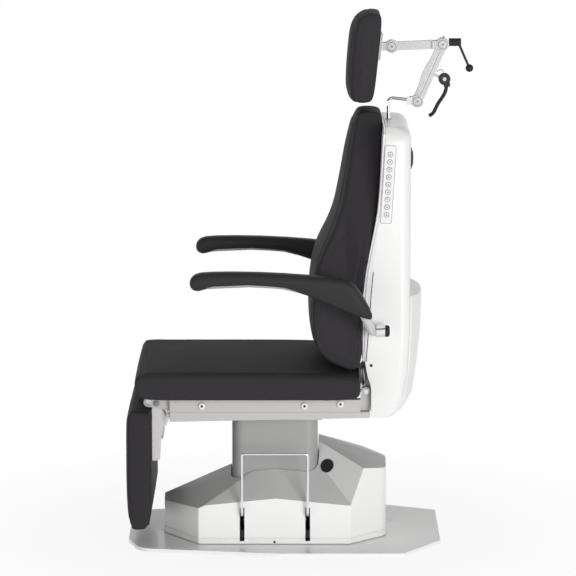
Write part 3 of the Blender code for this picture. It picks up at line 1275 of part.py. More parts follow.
def body_axes():
    """Each moving body, its parent body, a point on its joint axis and its nodes."""
    mid = 0.0
    keys = [(f"key_{n}_axis", "back_axis", (PANEL_CENTRE[0], -SHELL_HALF_WIDTH, PANEL_CENTRE[1]),
             [f"key_{n}"])
            for n in range(1, KEY_COUNT + 1)]
    return [
        ("base_axis", None, (0, 0, 0), ["base_plate", "bearing_lower_ring"]),
        ("swivel_axis", "base_axis", (0, 0, RING_HIGH_Z), [
            "bearing_upper_ring", "turntable_plate", "base_cover", "cover_skirt", "socket_plug",
            "inner_column",
            "column_glide", "lift_actuator", "pedal_bearing", "control_box"]),
        ("pedal_axis", "swivel_axis", (0, PEDAL_AXIS_Y, PEDAL_AXIS_Z), ["brake_pedal"]),
        ("lift_axis", "swivel_axis", (0, 0, SLEEVE_BOTTOM), [
            "column_sleeve", "lift_rod", "lower_frame", "upper_frame", "seat_board", "seat_cushion",
            "leg_shaft",
            "back_shaft", "recline_actuator"]),
        ("push_axis", "lift_axis", (PUSH_TUBE_X, mid, PUSH_BAR_Z), ["push_frame", "actuator_rod"]),
        ("leg_axis", "lift_axis", (LEG_PIVOT[0], mid, LEG_PIVOT[1]),
         ["leg_cushion", "leg_board", "leg_bracket"]),
        ("back_axis", "lift_axis", (BACK_PIVOT[0], mid, BACK_PIVOT[1]), [
            "back_cushion", "back_shell", "back_pan", "motor_cover", "back_frame", "keypad_panel",
            "arm_collar_left", "arm_collar_right", "mast_guide"]),
        *keys,
        ("knob_axis", "back_axis", (SHELL_REAR, mid, KNOB_Z), ["mast_knob"]),
        ("arm_left_axis", "back_axis", (COLLAR_FRONT, -ARM_AXIS_Y, ARM_AXIS_Z),
         ["armrest_pad_left", "armrest_tube_left"]),
        ("arm_right_axis", "back_axis", (COLLAR_FRONT, ARM_AXIS_Y, ARM_AXIS_Z),
         ["armrest_pad_right", "armrest_tube_right"]),
        ("mast_axis", "back_axis", (MAST_X, mid, GUIDE_TOP), ["head_mast"]),
        ("low_joint_axis", "mast_axis", (LOW_JOINT[0], mid, LOW_JOINT[1]), ["lower_arm"]),
        ("cam_axis", "low_joint_axis", (CAM_EYE[0], mid, CAM_EYE[1]), ["cam_lever"]),
        ("elbow_axis", "low_joint_axis", (ELBOW[0], mid, ELBOW[1]), ["upper_arm"]),
        ("clamp_axis", "elbow_axis", (CLAMP_END, mid, ELBOW[1] + 0.005), ["clamp_lever"]),
        ("head_joint_axis", "elbow_axis", (HEAD_JOINT[0], mid, HEAD_JOINT[1]),
         ["head_bracket", "head_cushion"]),
    ]


def assemble():
    """Parent every node to an empty that stands on its joint axis."""
    for name, parent, place, nodes in body_axes():
        empty = bpy.data.objects.new(name, None)
        PARTS.objects.link(empty)
        empty.matrix_world = Matrix.Translation(place)
        if parent:
            bpy.context.view_layer.update()
            empty.parent = bpy.data.objects[parent]
            empty.matrix_parent_inverse = bpy.data.objects[parent].matrix_world.inverted()
        bpy.context.view_layer.update()
        for node in nodes:
            obj = bpy.data.objects[node]
            obj.parent = empty
            obj.matrix_parent_inverse = empty.matrix_world.inverted()


def main():
    global PARTS
    remove_scene_objects()
    PARTS = bpy.data.collections.new("ent_chair")
    bpy.context.scene.collection.children.link(PARTS)
    paints = {
        "white": paint("white_lacquer", (0.90, 0.90, 0.89), 0.35),
        "shadow_white": paint("white_cover", (0.86, 0.86, 0.85), 0.38),
        "pan": paint("pan_plastic", (0.84, 0.82, 0.82), 0.45),
        "column": paint("column_grey", (0.45, 0.45, 0.45), 0.40),
        "rail": paint("rail_grey", (0.52, 0.51, 0.49), 0.42),
        "steel": paint("bright_steel", (0.60, 0.60, 0.60), 0.30, 1.0),
        "chrome": paint("chrome", (0.75, 0.75, 0.76), 0.12, 1.0),
        "alloy": paint("cast_alloy", (0.68, 0.68, 0.67), 0.38, 0.6),
        "black": paint("black_plastic", (0.02, 0.02, 0.02), 0.45),
        "plastic": paint("grey_plastic", (0.30, 0.30, 0.30), 0.50),
        "hide": paint("charcoal_hide", (0.040, 0.038, 0.042), 0.55),
        "arm": paint("arm_foam", (0.050, 0.050, 0.050), 0.60),
        "wood": paint("plywood", (0.45, 0.32, 0.20), 0.60),
        "panel": paint("keypad_foil", (0.80, 0.81, 0.81), 0.30),
        "key": paint("key_foil", (0.72, 0.74, 0.76), 0.30),
    }
    make_base(paints)
    make_turntable(paints)
    make_pedal(paints)
    make_carriage(paints)
    make_push_frame(paints)
    make_leg_rest(paints)
    make_backrest(paints)
    make_knob(paints)
    make_armrests(paints)
    make_headrest(paints)
    assemble()


if __name__ == "__main__":
    main()
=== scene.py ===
"""Looks of the examination chair: upholstery, finishes, trim and the stage round its frame."""
import math

import bmesh
import bpy
import numpy as np
from bpy.props import FloatProperty, FloatVectorProperty, IntProperty, PointerProperty
from mathutils import Matrix, Vector
from mathutils.bvhtree import BVHTree
from mathutils.kdtree import KDTree


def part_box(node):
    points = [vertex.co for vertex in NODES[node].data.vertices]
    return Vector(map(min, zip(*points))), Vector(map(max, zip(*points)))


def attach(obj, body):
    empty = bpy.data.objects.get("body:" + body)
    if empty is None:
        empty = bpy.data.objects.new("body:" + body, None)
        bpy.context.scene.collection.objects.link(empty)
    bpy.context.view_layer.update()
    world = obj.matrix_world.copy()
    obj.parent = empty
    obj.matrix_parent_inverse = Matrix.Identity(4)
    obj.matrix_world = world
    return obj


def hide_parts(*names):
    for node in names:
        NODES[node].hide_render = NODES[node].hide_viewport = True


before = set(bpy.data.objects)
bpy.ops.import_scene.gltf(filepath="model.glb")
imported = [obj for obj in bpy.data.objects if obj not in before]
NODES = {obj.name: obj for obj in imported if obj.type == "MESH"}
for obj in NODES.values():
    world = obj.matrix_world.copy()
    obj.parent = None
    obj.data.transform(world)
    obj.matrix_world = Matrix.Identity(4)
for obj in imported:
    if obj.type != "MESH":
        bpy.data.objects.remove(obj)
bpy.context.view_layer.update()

bl_info = {
    "name": "Examination chair looks",
    "version": (1, 0, 0),
    "blender": (4, 5, 0),
    "location": "View3D > Sidebar > Chair",
    "description": "Dresses the packed examination chair with upholstery, finishes and trim",
    "category": "Object",
}

SIDES = (("left", -1), ("right", 1))

# Places on the frame that the looks are fitted to, in metres. A pair is x and z.

# Seat rails and leg rest
RAIL_FACE = 0.205
RAIL_BOLTS = ((-0.201, 0.404), (0.082, 0.404), (0.181, 0.410))
RAIL_FRONT = -0.290
RAIL_MIDDLE = 0.185
RAIL_END_Z = 0.3765
LUG_FACE = 0.184
LEG_BOLT = (-0.327, 0.408)
LEG_STRIP_REAR = -0.3147
LEG_SCREW_Y = 0.162
LEG_SCREW_Z = 0.309

# Headrest
LOW_JOINT = (0.395, 1.227)
ELBOW = (0.464, 1.385)
HEAD_JOINT = (0.323, 1.379)
JOINT_R = 0.0175
CHEEK_FACE = 0.0164
ELBOW_CAP_Y = 0.0139
CAM_WIRE = ((0.4490, 1.3080), (0.4525, 1.3118), (0.4570, 1.3140), (0.4620, 1.3138),
            (0.4655, 1.3110), (0.4670, 1.3062))

# Armrests: the underside gives x, depth below the pad's top and thickness of the plate let into
# it, and the parting line gives x and depth
ARM_Y = 0.328
ARM_TOP = 0.7996
ARM_HALF_WIDTH = 0.030
ARM_UNDERSIDE = ((-0.184, 0.0440, 0.0060), (-0.160, 0.0421, 0.0062), (-0.070, 0.0382, 0.0060),
                 (-0.020, 0.0405, 0.0054), (0.028, 0.0442, 0.0045), (0.062, 0.0540, 0.0030))
ARM_PARTING = ((-0.150, 0.0275), (-0.070, 0.0255), (0.028, 0.0320), (0.101, 0.0550),
               (0.170, 0.0850), (0.240, 0.1160))
ARM_AXIS_Y = 0.262
ARM_AXIS_Z = 0.625
ARM_TUBE_END = 0.312
ARM_TUBE_R = 0.0135
COLLAR_REAR = 0.301

# Backrest: the pan's edge gives its front, its height and its rear
SHELL_SIDE = 0.2085
SHELL_SCREW = (0.265, 0.519)
SHELL_TOP = 1.175
PAN_EDGE = ((0.2478, 0.530, 0.2510), (0.2478, 0.560, 0.2534), (0.2478, 0.650, 0.2597),
            (0.2478, 0.688, 0.2622), (0.2505, 0.730, 0.2648), (0.2560, 0.779, 0.2700),
            (0.2640, 0.823, 0.2745), (0.2768, 0.885, 0.2820))
# Top of the black line that paints the shade in the slit behind the pan
PAN_SLIT_SHADE_TOP = 0.786
PAN_TOP = 1.160
STRIP_FRONT = 0.2972
STRIP_REAR = 0.3020
STRIP_HALF_LOW = 0.1935
STRIP_HALF_HIGH = 0.1770
MAST_X = 0.315
KNOB_FACE = 0.3755
KNOB_Z = 1.067
KNOB_R = 0.030
KNOB_RIBS = 36

# Keypad
KEY_FACE = -0.2128
KEY_PITCH = 0.0207
KEY_COUNT = 9
KEYS = tuple(f"key_{number}" for number in range(1, KEY_COUNT + 1))
PANEL_CENTRE = (0.310, 1.021)
PANEL_TILT = math.radians(3.45)
PANEL_FACE = -0.2113
BORDER_HALF_WIDTH = 0.0148
BORDER_HALF_LENGTH = 0.1068
BORDER_R = 0.005

# Base
COVER_SIDE = 0.190
SKIRT_SIDE = 0.1915
SKIRT_SCREW = (-0.001, 0.017)
SLOT_X = 0.091
SLOT_HALF = 0.0065
SLOT_FOOT = 0.019
SLOT_HEAD = 0.112
# Top of the dark sheet that paints the shade at the back of each slot
SLOT_SHADE_SHEET_TOP = 0.050
PLATE_TOP = 0.010
PLUG_X = 0.332
PLUG_Y = 0.103

# Habits of the making: joining of corners, edges of hard parts, seats of trim, seams and stitches
WELD_GAP = 2e-5
BEVEL_ANGLE = math.radians(32)
TRIM_GAP = 0.0001
CUSHION_EDGE = 0.007
SEAM_INSET = 0.002
SEAM_STEP = 0.003
STITCH_SIDE = 0.005
STITCH_RISE = 0.0003
STITCH_SINK = 0.0002
THREAD_R = 0.00042
REST_COSINE = 0.6

# Colours that belong to one finish each, or to two that match
# A brighter copy of the white lacquer: painted light for the base cover and plate, which the chair
# above shades
BASE_WHITE_PAINTED_LIGHT = (0.93, 0.93, 0.92)
# Painted shade: the base cover's upward faces are darkened to this share of its white, for the
# shade under the seat
ROOF_PAINTED_SHADE = 0.64
GROUND_STEEL = (0.62, 0.62, 0.62)

# Which finish each part of the frame has
PARTS_BY_FINISH = {
    "white_lacquer": ("cover_skirt", "back_shell"),
    "cover_lacquer": ("base_cover",),
    "plate_lacquer": ("base_plate",),
    "white_cover": ("motor_cover",),
    "pan_plastic": ("back_pan",),
    "column_grey": ("column_sleeve",),
    "frame_grey": ("lower_frame", "upper_frame", "back_frame"),
    "bracket_grey": ("leg_bracket",),
    "steel": ("bearing_lower_ring", "bearing_upper_ring", "turntable_plate", "pedal_bearing",
              "leg_shaft", "back_shaft", "push_frame", "actuator_rod"),
    "upright_steel": ("inner_column", "lift_rod", "mast_guide"),
    "chrome": ("head_mast", "brake_pedal", "arm_collar_left", "arm_collar_right"),
    "cast_alloy": ("lower_arm", "upper_arm", "head_bracket", "armrest_tube_left",
                   "armrest_tube_right"),
    "black_plastic": ("socket_plug", "lift_actuator", "recline_actuator", "mast_knob", "cam_lever",
                      "clamp_lever"),
    "grey_plastic": ("column_glide", "control_box"),
    "dark_board": ("seat_board", "leg_board"),
    "keypad_foil": ("keypad_panel",),
    "key_foil": KEYS,
}

# Edge radii of the parts whose edges differ from the usual ones
PARTS_BY_EDGE = {
    0.0030: ("base_cover",),
    0.0024: ("back_shell", "motor_cover"),
    0.0022: ("base_plate",),
    0.0016: ("lower_arm", "upper_arm", "leg_board"),
    0.0015: ("column_sleeve",),
    0.0014: ("lower_frame", "upper_frame", "leg_bracket", "head_bracket", "clamp_lever",
             "mast_knob"),
    0.0012: ("cover_skirt", "cam_lever"),
    0.0006: ("keypad_panel", *KEYS),
}

# Soft lamps: name, place, width and the setting that gives the power
LAMPS = (("key_lamp", (2.6, -5.4, 1.0), 2.6, "key_power"),
         ("top_lamp", (0.3, -0.4, 3.6), 2.4, "top_power"),
         ("fill_lamp", (-3.4, -4.4, 1.2), 2.6, "fill_power"))
LAMP_AIM = Vector((0.05, 0.0, 0.70))
SENSOR_WIDTH = 36.0
FLOOR_HALF = 60.0
FLOOR_Z = -0.0004
FLOOR_GREY = (0.62, 0.62, 0.62, 1.0)
SHADOW_START = 0.35
SHADOW_REACH = 0.9
WHITE = (1.0, 1.0, 1.0, 1.0)


# Settings that a user would change


class UpholsterySettings(bpy.types.PropertyGroup):
    """Artificial leather and the way it is sewn."""
    colour: FloatVectorProperty(
        name="Hide colour", description="Charcoal of the artificial leather",
        subtype="COLOR", size=3, min=0, max=1, default=(0.0375, 0.0350, 0.0390))
    grain: FloatProperty(
        name="Grain size", description="Width of one grain cell of the hide",
        unit="LENGTH", default=0.0013, min=0.0003)
    voxel: FloatProperty(
        name="Cloth mesh size", description="Edge length of the simulated cover",
        unit="LENGTH", default=0.005, min=0.003)
    tuck: FloatProperty(
        name="Tuck", description="How far the cover lies inside its solid before it is filled",
        unit="LENGTH", default=0.002, min=0.0)
    swell: FloatProperty(
        name="Swell limit", description="How far the filling may push the cover",
        unit="LENGTH", default=0.006, min=0.0)
    proud: FloatProperty(
        name="Proud", description="How far the filled cover may stand outside its solid",
        unit="LENGTH", default=0.0025, min=0.0)
    pressure: FloatProperty(
        name="Filling pressure", description="Pressure of the filling in the simulation",
        default=4.0)
    frames: IntProperty(
        name="Frames", description="Length of the simulation", default=20, min=2)
    seam_depth: FloatProperty(
        name="Seam depth", description="How deep a seam draws the cover in",
        unit="LENGTH", default=0.0018)
    stitch: FloatProperty(
        name="Stitch length", description="Length of one stitch",
        unit="LENGTH", default=0.0042)
    foam_colour: FloatVectorProperty(
        name="Armrest colour", description="Dark grey of the moulded armrest pads",
        subtype="COLOR", size=3, min=0, max=1, default=(0.030, 0.030, 0.031))


class FinishSettings(bpy.types.PropertyGroup):
    """Colours and edges of the hard surfaces."""
    lacquer: FloatVectorProperty(
        name="Lacquer", description="White of the back shell, the motor cover and the skirt",
        subtype="COLOR", size=3, min=0, max=1, default=(0.88, 0.88, 0.87))
    column: FloatVectorProperty(
        name="Column", description="Grey of the lifting column",
        subtype="COLOR", size=3, min=0, max=1, default=(0.36, 0.36, 0.355))
    rail: FloatVectorProperty(
        name="Rails", description="Pale grey of the seat rails",
        subtype="COLOR", size=3, min=0, max=1, default=(0.58, 0.565, 0.545))
    alloy: FloatVectorProperty(
        name="Alloy", description="Cast alloy of the headrest arms and the armrest tubes",
        subtype="COLOR", size=3, min=0, max=1, default=(0.61, 0.61, 0.60))
    plastic: FloatVectorProperty(
        name="Black plastic", description="Levers, knob and small screws",
        subtype="COLOR", size=3, min=0, max=1, default=(0.016, 0.016, 0.017))
    edge: FloatProperty(
        name="Edge radius", description="Usual radius of the frame's edges",
        unit="LENGTH", default=0.0008)


class StageSettings(bpy.types.PropertyGroup):
    """Floor, lamps and camera."""
    key_power: FloatProperty(
        name="Key lamp", description="Power of the soft lamp on the camera's right",
        unit="POWER", default=210.0)
    top_power: FloatProperty(
        name="Top lamp", description="Power of the soft lamp overhead",
        unit="POWER", default=15.0)
    fill_power: FloatProperty(
        name="Fill lamp", description="Power of the soft lamp on the left",
        unit="POWER", default=26.0)
    world_level: FloatProperty(
        name="World level", description="Strength of the even light all round", default=0.20)
    floor_glow: FloatProperty(
        name="Floor glow", description="Share of the pale floor's light that it gives off itself",
        subtype="FACTOR", default=0.6, min=0.0, max=1.0)
    camera_place: FloatVectorProperty(
        name="Camera place", description="Where the camera stands",
        subtype="TRANSLATION", size=3, default=(0.0364, -9.5, 2.29))
    camera_pitch: FloatProperty(
        name="Camera pitch", description="How far the camera looks down",
        unit="ROTATION", default=math.radians(9.5))
    focal_length: FloatProperty(
        name="Focal length", description="Lens of the camera, in millimetres", default=215.0)


# Shader expressions


class Socket:
    """A node's output whose arithmetic adds Math nodes to its tree."""

    def __init__(self, tree, output=None):
        self.tree = tree
        self.output = output

    def node(self, kind, settings, sockets, output=0):
        """Add any node: its settings first, then the values or links of its sockets."""
        made = self.tree.nodes.new(kind)
        for key, value in settings.items():
            if key == "stops":
                ramp = made.color_ramp.elements
                while len(ramp) < len(value):
                    ramp.new(1.0)
                for element, (place, level) in zip(ramp, value):
                    element.position = place
                    element.color = (level, level, level, 1.0)
            else:
                setattr(made, key, value)
        for key, value in sockets.items():
            if isinstance(value, Socket):
                self.tree.links.new(value.output, made.inputs[key])
            else:
                made.inputs[key].default_value = value
        return Socket(self.tree, made.outputs[output]) if made.outputs else None

    def _math(self, operation, first, second):
        return self.node("ShaderNodeMath", {"operation": operation}, {0: first, 1: second})

    def __add__(self, other):
        return self._math("ADD", self, other)

    def __radd__(self, other):
        return self._math("ADD", other, self)

    def __sub__(self, other):
        return self._math("SUBTRACT", self, other)

    def __rsub__(self, other):
        return self._math("SUBTRACT", other, self)

    def __mul__(self, other):
        return self._math("MULTIPLY", self, other)

    def __rmul__(self, other):
        return self._math("MULTIPLY", other, self)

    def __truediv__(self, other):
        return self._math("DIVIDE", self, other)

    def __rtruediv__(self, other):
        return self._math("DIVIDE", other, self)


def tint(colour, level):
    """A colour made lighter or darker, with the alpha that a socket wants."""
    return tuple(min(c * level, 1.0) for c in colour) + (1.0,)


class Finish:
    """A Principled material with object coordinates and the usual textures at hand."""

    def __init__(self, name, colour, roughness, metallic=0.0):
        plain = bpy.data.materials.get(name)
        if plain:  # the frame brings a plain material for each of the record's slots
            plain.name = f"{name}_plain"
        self.material = bpy.data.materials.new(name)
        self.material.use_nodes = True
        tree = self.material.node_tree
        self.shader = tree.nodes["Principled BSDF"]
        self.colour = colour
        self.set("Base Color", tint(colour, 1.0))
        self.set("Roughness", roughness)
        self.set("Metallic", metallic)
        self.start = Socket(tree)
        self.place = self.start.node("ShaderNodeTexCoord", {}, {}, output="Object")

    def set(self, name, value):
        self.shader.inputs[name].default_value = value

    def feed(self, name, socket):
        socket.tree.links.new(socket.output, self.shader.inputs[name])

    def noise(self, scale, detail=2.0, stretch=None):
        place = self.place
        if stretch:
            place = self.start.node("ShaderNodeMapping", {}, {"Vector": place, "Scale": stretch})
        return self.start.node("ShaderNodeTexNoise", {},
                               {"Vector": place, "Scale": scale, "Detail": detail})

    def cells(self, scale):
        return self.start.node("ShaderNodeTexVoronoi", {"feature": "DISTANCE_TO_EDGE"},
                               {"Vector": self.place, "Scale": scale})

    def ramp(self, factor, stops):
        return self.start.node("ShaderNodeValToRGB", {"stops": stops}, {0: factor})

    def spread(self, factor, low, high):
        """Vary the base colour between two levels of itself."""
        ends = {6: tint(self.colour, low), 7: tint(self.colour, high)}
        mix = self.start.node("ShaderNodeMix", {"data_type": "RGBA"}, {0: factor, **ends}, output=2)
        self.feed("Base Color", mix)

    def relief(self, height, strength, distance):
        bump = self.start.node("ShaderNodeBump", {}, {"Height": height, "Strength": strength,
                                                      "Distance": distance})
        self.feed("Normal", bump)

    def sprayed(self):
        """Orange peel of a sprayed coat, and the clouds that its tone and gloss follow."""
        self.relief(self.noise(260.0, 1.0), 0.06, 0.00018)
        return self.noise(3.5, 3.0)

    def grained(self, grain, clouds, share, levels, gloss, relief):
        """Clouds and a fine grain: both vary the tone, clouds vary the gloss, and grain is raised.

        Share is the clouds' part in the tone, and gloss gives the lowest roughness and its range.
        """
        lowest, span = gloss
        self.spread(clouds * share + grain * (1 - share), *levels)
        self.feed("Roughness", lowest + span * clouds)
        self.relief(grain, *relief)


def hide_finish(settings):
    """Artificial leather: pebbled grain, a faint mottle and a soft sheen."""
    hide = Finish("charcoal_hide", settings.colour, 0.5)
    pores = hide.ramp(hide.cells(1.0 / settings.grain), [(0.02, 0.0), (0.22, 1.0)])
    fine = hide.noise(1900.0, 3.0)
    broad = hide.noise(7.0, 3.0)
    hide.spread(broad * 0.7 + pores * 0.3, 0.86, 1.12)
    hide.feed("Roughness", 0.50 + 0.12 * broad + 0.10 * (1 - pores))
    hide.relief(pores * 0.75 + fine * 0.25, 0.35, 0.00022)
    hide.set("Specular IOR Level", 0.06)


def thread_finish(settings):
    """Sewing thread, a little paler than the hide, with its twist."""
    thread = Finish("sewing_thread", tuple(1.5 * c for c in settings.colour), 0.6)
    twist = thread.noise(2600.0, 1.0)
    thread.spread(twist, 0.7, 1.2)
    thread.relief(twist, 0.3, 0.0001)


def foam_finish(settings):
    """Moulded integral foam: fine sand grain with slightly polished wear patches."""
    foam = Finish("arm_foam", settings.foam_colour, 0.55)
    foam.grained(foam.noise(1500.0, 3.0), foam.noise(6.0, 2.0), 0.6, (0.85, 1.15), (0.44, 0.16),
                 (0.30, 0.00016))
    foam.set("Specular IOR Level", 0.14)


def lacquer_finish(name, colour, roughness=0.32, coat=0.25):
    """Sprayed lacquer: faint orange peel and a slightly uneven gloss."""
    lacquer = Finish(name, colour, roughness)
    clouds = lacquer.sprayed()
    lacquer.spread(clouds, 0.975, 1.02)
    lacquer.feed("Roughness", roughness - 0.04 + 0.08 * clouds)
    lacquer.set("Coat Weight", coat)
    lacquer.set("Coat Roughness", 0.15)


def cover_finish(colour, roof_shade):
    """White lacquer whose upward faces are darkened as painted shade, standing in for the shade
    that the seat casts on them; the walls keep the full white.
    """
    lacquer = Finish("cover_lacquer", colour, 0.34)
    clouds = lacquer.sprayed()
    # Painted shade: faces that point upwards take the darker tone
    normal = lacquer.start.node("ShaderNodeTexCoord", {}, {}, output="Normal")
    upward = lacquer.start.node("ShaderNodeSeparateXYZ", {}, {0: normal}, output="Z")
    roof_shade_mask = lacquer.ramp(upward, [(0.30, 0.0), (0.55, 1.0)])
    lacquer.spread(roof_shade_mask + 0.06 * (clouds - 0.5), 1.0, roof_shade)
    lacquer.feed("Roughness", 0.30 + 0.08 * clouds)


def brushed_finish(name, colour, stretch):
    """Ground metal: fine streaks along one direction."""
    metal = Finish(name, colour, 0.30, 1.0)
    streak = metal.noise(28.0, 4.0, stretch)
    stain = metal.noise(9.0, 2.0)
    metal.spread(streak * 0.6 + stain * 0.4, 0.90, 1.06)
    metal.feed("Roughness", 0.22 + 0.14 * streak)
    metal.relief(streak, 0.10, 0.00008)


def chrome_finish(colour):
    """Bright plating with a few smears."""
    chrome = Finish("chrome", colour, 0.10, 1.0)
    smear = chrome.noise(40.0, 3.0)
    chrome.spread(smear, 0.95, 1.02)
    chrome.feed("Roughness", 0.06 + 0.08 * smear)


def alloy_finish(colour):
    """Fine cast alloy with a silver coat: small pits and a soft gloss."""
    alloy = Finish("cast_alloy", colour, 0.42)
    alloy.grained(alloy.noise(900.0, 3.0), alloy.noise(14.0, 2.0), 0.6, (0.93, 1.05), (0.30, 0.16),
                  (0.16, 0.00010))


def plastic_finish(name, colour, roughness=0.45, grain=800.0):
    """Moulded plastic with an eroded grain."""
    plastic = Finish(name, colour, roughness)
    plastic.grained(plastic.noise(grain, 3.0), plastic.noise(11.0, 2.0), 0.5, (0.85, 1.15),
                    (roughness - 0.06, 0.12), (0.20, 0.00012))
    plastic.set("Specular IOR Level", 0.22)


# Shapes


def placed(name, data):
    """A new object of the scene."""
    obj = bpy.data.objects.new(name, data)
    bpy.context.scene.collection.objects.link(obj)
    return obj


def dressed(data, finish):
    """Give a mesh or curve one finish, by its name."""
    data.materials.clear()
    data.materials.append(bpy.data.materials[finish])


def mesh_of(bm, name, angle=40):
    """A mesh from a bmesh, smooth apart from edges sharper than an angle in degrees."""
    bmesh.ops.recalc_face_normals(bm, faces=bm.faces)
    mesh = bpy.data.meshes.new(name)
    bm.to_mesh(mesh)
    bm.free()
    mesh.shade_smooth()
    mesh.set_sharp_from_angle(angle=math.radians(angle))
    return mesh


def new_piece(name, bm, finish, body, angle=40):
    """Add a bmesh to the scene as a piece that rides on a body."""
    obj = placed(name, mesh_of(bm, name, angle))
    dressed(obj.data, finish)
    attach(obj, body)


def wire(name, routes, radius, finish, body, cyclic=False, resolution=2):
    """One curve object of round wires along routes, as a piece that rides on a body."""
    curve = bpy.data.curves.new(name, "CURVE")
    curve.dimensions = "3D"
    curve.bevel_depth = radius
    curve.bevel_resolution = resolution
    curve.use_fill_caps = True
    for route in routes:
        spline = curve.splines.new("POLY")
        spline.points.add(len(route) - 1)
        for point, place in zip(spline.points, route):
            point.co = (*place, 1.0)
        spline.use_cyclic_u = cyclic
    obj = placed(name, curve)
    dressed(curve, finish)
    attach(obj, body)


def bridged(bm, first, second):
    """Join two closed rows of as many corners each by quads."""
    for k in range(len(first)):
        after = (k + 1) % len(first)
        bm.faces.new((first[k], first[after], second[after], second[k]))


def spun(bm, profile, place, axis, sides=28, hollow=False):
    """Add a turned solid to a bmesh: radius and height pairs about an axis.

    The profile runs from the foot to the top, or round a closed section where the solid is a
    hollow ring.
    """
    turn = Vector(axis).to_track_quat("Z", "Y").to_matrix().to_4x4()
    where = Matrix.Translation(place) @ turn
    angles = [2 * math.pi * k / sides for k in range(sides)]
    rings = []
    for radius, height in profile:
        if radius == 0.0:
            corners = [(0, 0, height)]
        else:
            corners = [(radius * math.cos(a), radius * math.sin(a), height) for a in angles]
        rings.append([bm.verts.new(where @ Vector(corner)) for corner in corners])
    follow = [*rings[1:], rings[0]] if hollow else rings[1:]
    for low, high in zip(rings, follow):
        for k in range(sides):
            after = (k + 1) % sides
            corners = [low[k % len(low)], low[after % len(low)],
                       high[after % len(high)], high[k % len(high)]]
            unique = list(dict.fromkeys(corners))
            if len(unique) > 2:
                bm.faces.new(unique)
    for ring in () if hollow else (rings[0], rings[-1]):
        if len(ring) > 1:
            bm.faces.new(ring)


def slab(bm, outline, thick):
    """Add a flat plate to a bmesh: its outline, and the step to its other face."""
    low = [bm.verts.new(p) for p in outline]
    high = [bm.verts.new(Vector(p) + thick) for p in outline]
    bm.faces.new(low)
    bm.faces.new(high)
    bridged(bm, low, high)


def evaluated(obj):
    """The mesh that an object's modifiers make."""
    bpy.context.view_layer.update()
    graph = bpy.context.evaluated_depsgraph_get()
    return bpy.data.meshes.new_from_object(obj.evaluated_get(graph))


def apply_modifiers(obj):
    """Keep what an object's modifiers make as its own mesh."""
    mesh = evaluated(obj)
    obj.modifiers.clear()
    obj.data = mesh


def welded_copy(node):
    """The CAD node's mesh with its corners joined, as the start of a soft piece."""
    bm = bmesh.new()
    bm.from_mesh(NODES[node].data)
    bmesh.ops.remove_doubles(bm, verts=bm.verts, dist=WELD_GAP)
    return bm


def remeshed(name, bm, voxel):
    """Even mesh of a closed shape, as a loose object."""
    mesh = bpy.data.meshes.new(name)
    bm.to_mesh(mesh)
    bm.free()
    obj = placed(name, mesh)
    remesh = obj.modifiers.new("even", "REMESH")
    remesh.mode = "VOXEL"
    remesh.voxel_size = voxel
    remesh.use_smooth_shade = True
    apply_modifiers(obj)
    return obj


def places_of(mesh):
    """Places of a mesh's points, one row each."""
    co = np.empty(len(mesh.vertices) * 3)
    mesh.vertices.foreach_get("co", co)
    return co.reshape(-1, 3)


def put_places(mesh, co):
    """Move a mesh's points to new places."""
    mesh.vertices.foreach_set("co", co.ravel())
    mesh.update()


def inflate(obj, settings):
    """Let the filling push the cover out for some frames, and keep the moves within a limit."""
    before = places_of(obj.data)
    cloth = obj.modifiers.new("cover", "CLOTH")
    cloth.settings.use_pressure = True
    cloth.settings.uniform_pressure_force = settings.pressure
    cloth.settings.quality = 4
    cloth.settings.tension_stiffness = 12
    cloth.settings.compression_stiffness = 12
    cloth.settings.bending_stiffness = 0.6
    cloth.settings.effector_weights.gravity = 0
    cloth.point_cache.frame_start = 1
    cloth.point_cache.frame_end = settings.frames
    for number in range(1, settings.frames + 1):
        bpy.context.scene.frame_set(number)
    move = places_of(evaluated(obj)) - before
    obj.modifiers.clear()
    bpy.context.scene.frame_set(1)
    length = np.linalg.norm(move, axis=1, keepdims=True)
    move *= np.minimum(1.0, settings.swell / np.maximum(length, 1e-9))
    put_places(obj.data, before + move)


def keep_near(obj, solid, rest, proud, sunk):
    """Hold a cover near the solid it stands for, and flat where it rests on something."""
    co = places_of(obj.data)
    rest = Vector(rest)
    for index, place in enumerate(co):
        place = Vector(place)
        foot, normal, _, reach = solid.find_nearest(place)
        limit = sunk
        if (place - foot).dot(normal) > 0:
            limit = 0.0 if normal.dot(rest) > REST_COSINE else proud
        if reach > limit:
            co[index] = foot.lerp(place, limit / reach)
    put_places(obj.data, co)


def rounded_off(obj):
    """Subdivide a cover once and keep the result."""
    obj.modifiers.new("rounding", "SUBSURF").levels = 1
    apply_modifiers(obj)
    obj.data.shade_smooth()


def surface_of(obj):
    """An object's surface, for finding the nearest point on it."""
    return BVHTree.FromObject(obj, bpy.context.evaluated_depsgraph_get())


def draw_seams(obj, routes, depth, width=0.0032):
    """Sink the cover along the seams, which run near the given routes."""
    tree = surface_of(obj)
    seams = [[tree.find_nearest(Vector(p))[0] for p in route] for route in routes]
    points = [p for seam in seams for p in seam]
    lookup = KDTree(len(points))
    for index, point in enumerate(points):
        lookup.insert(point, index)
    lookup.balance()
    co = places_of(obj.data)
    normals = np.empty(co.size)
    obj.data.vertex_normals.foreach_get("vector", normals)
    reach = np.array([lookup.find(place)[2] for place in co])
    sink = depth * np.exp(-(reach / width) ** 2)
    co -= normals.reshape(-1, 3) * sink[:, None]
    put_places(obj.data, co)
    return seams


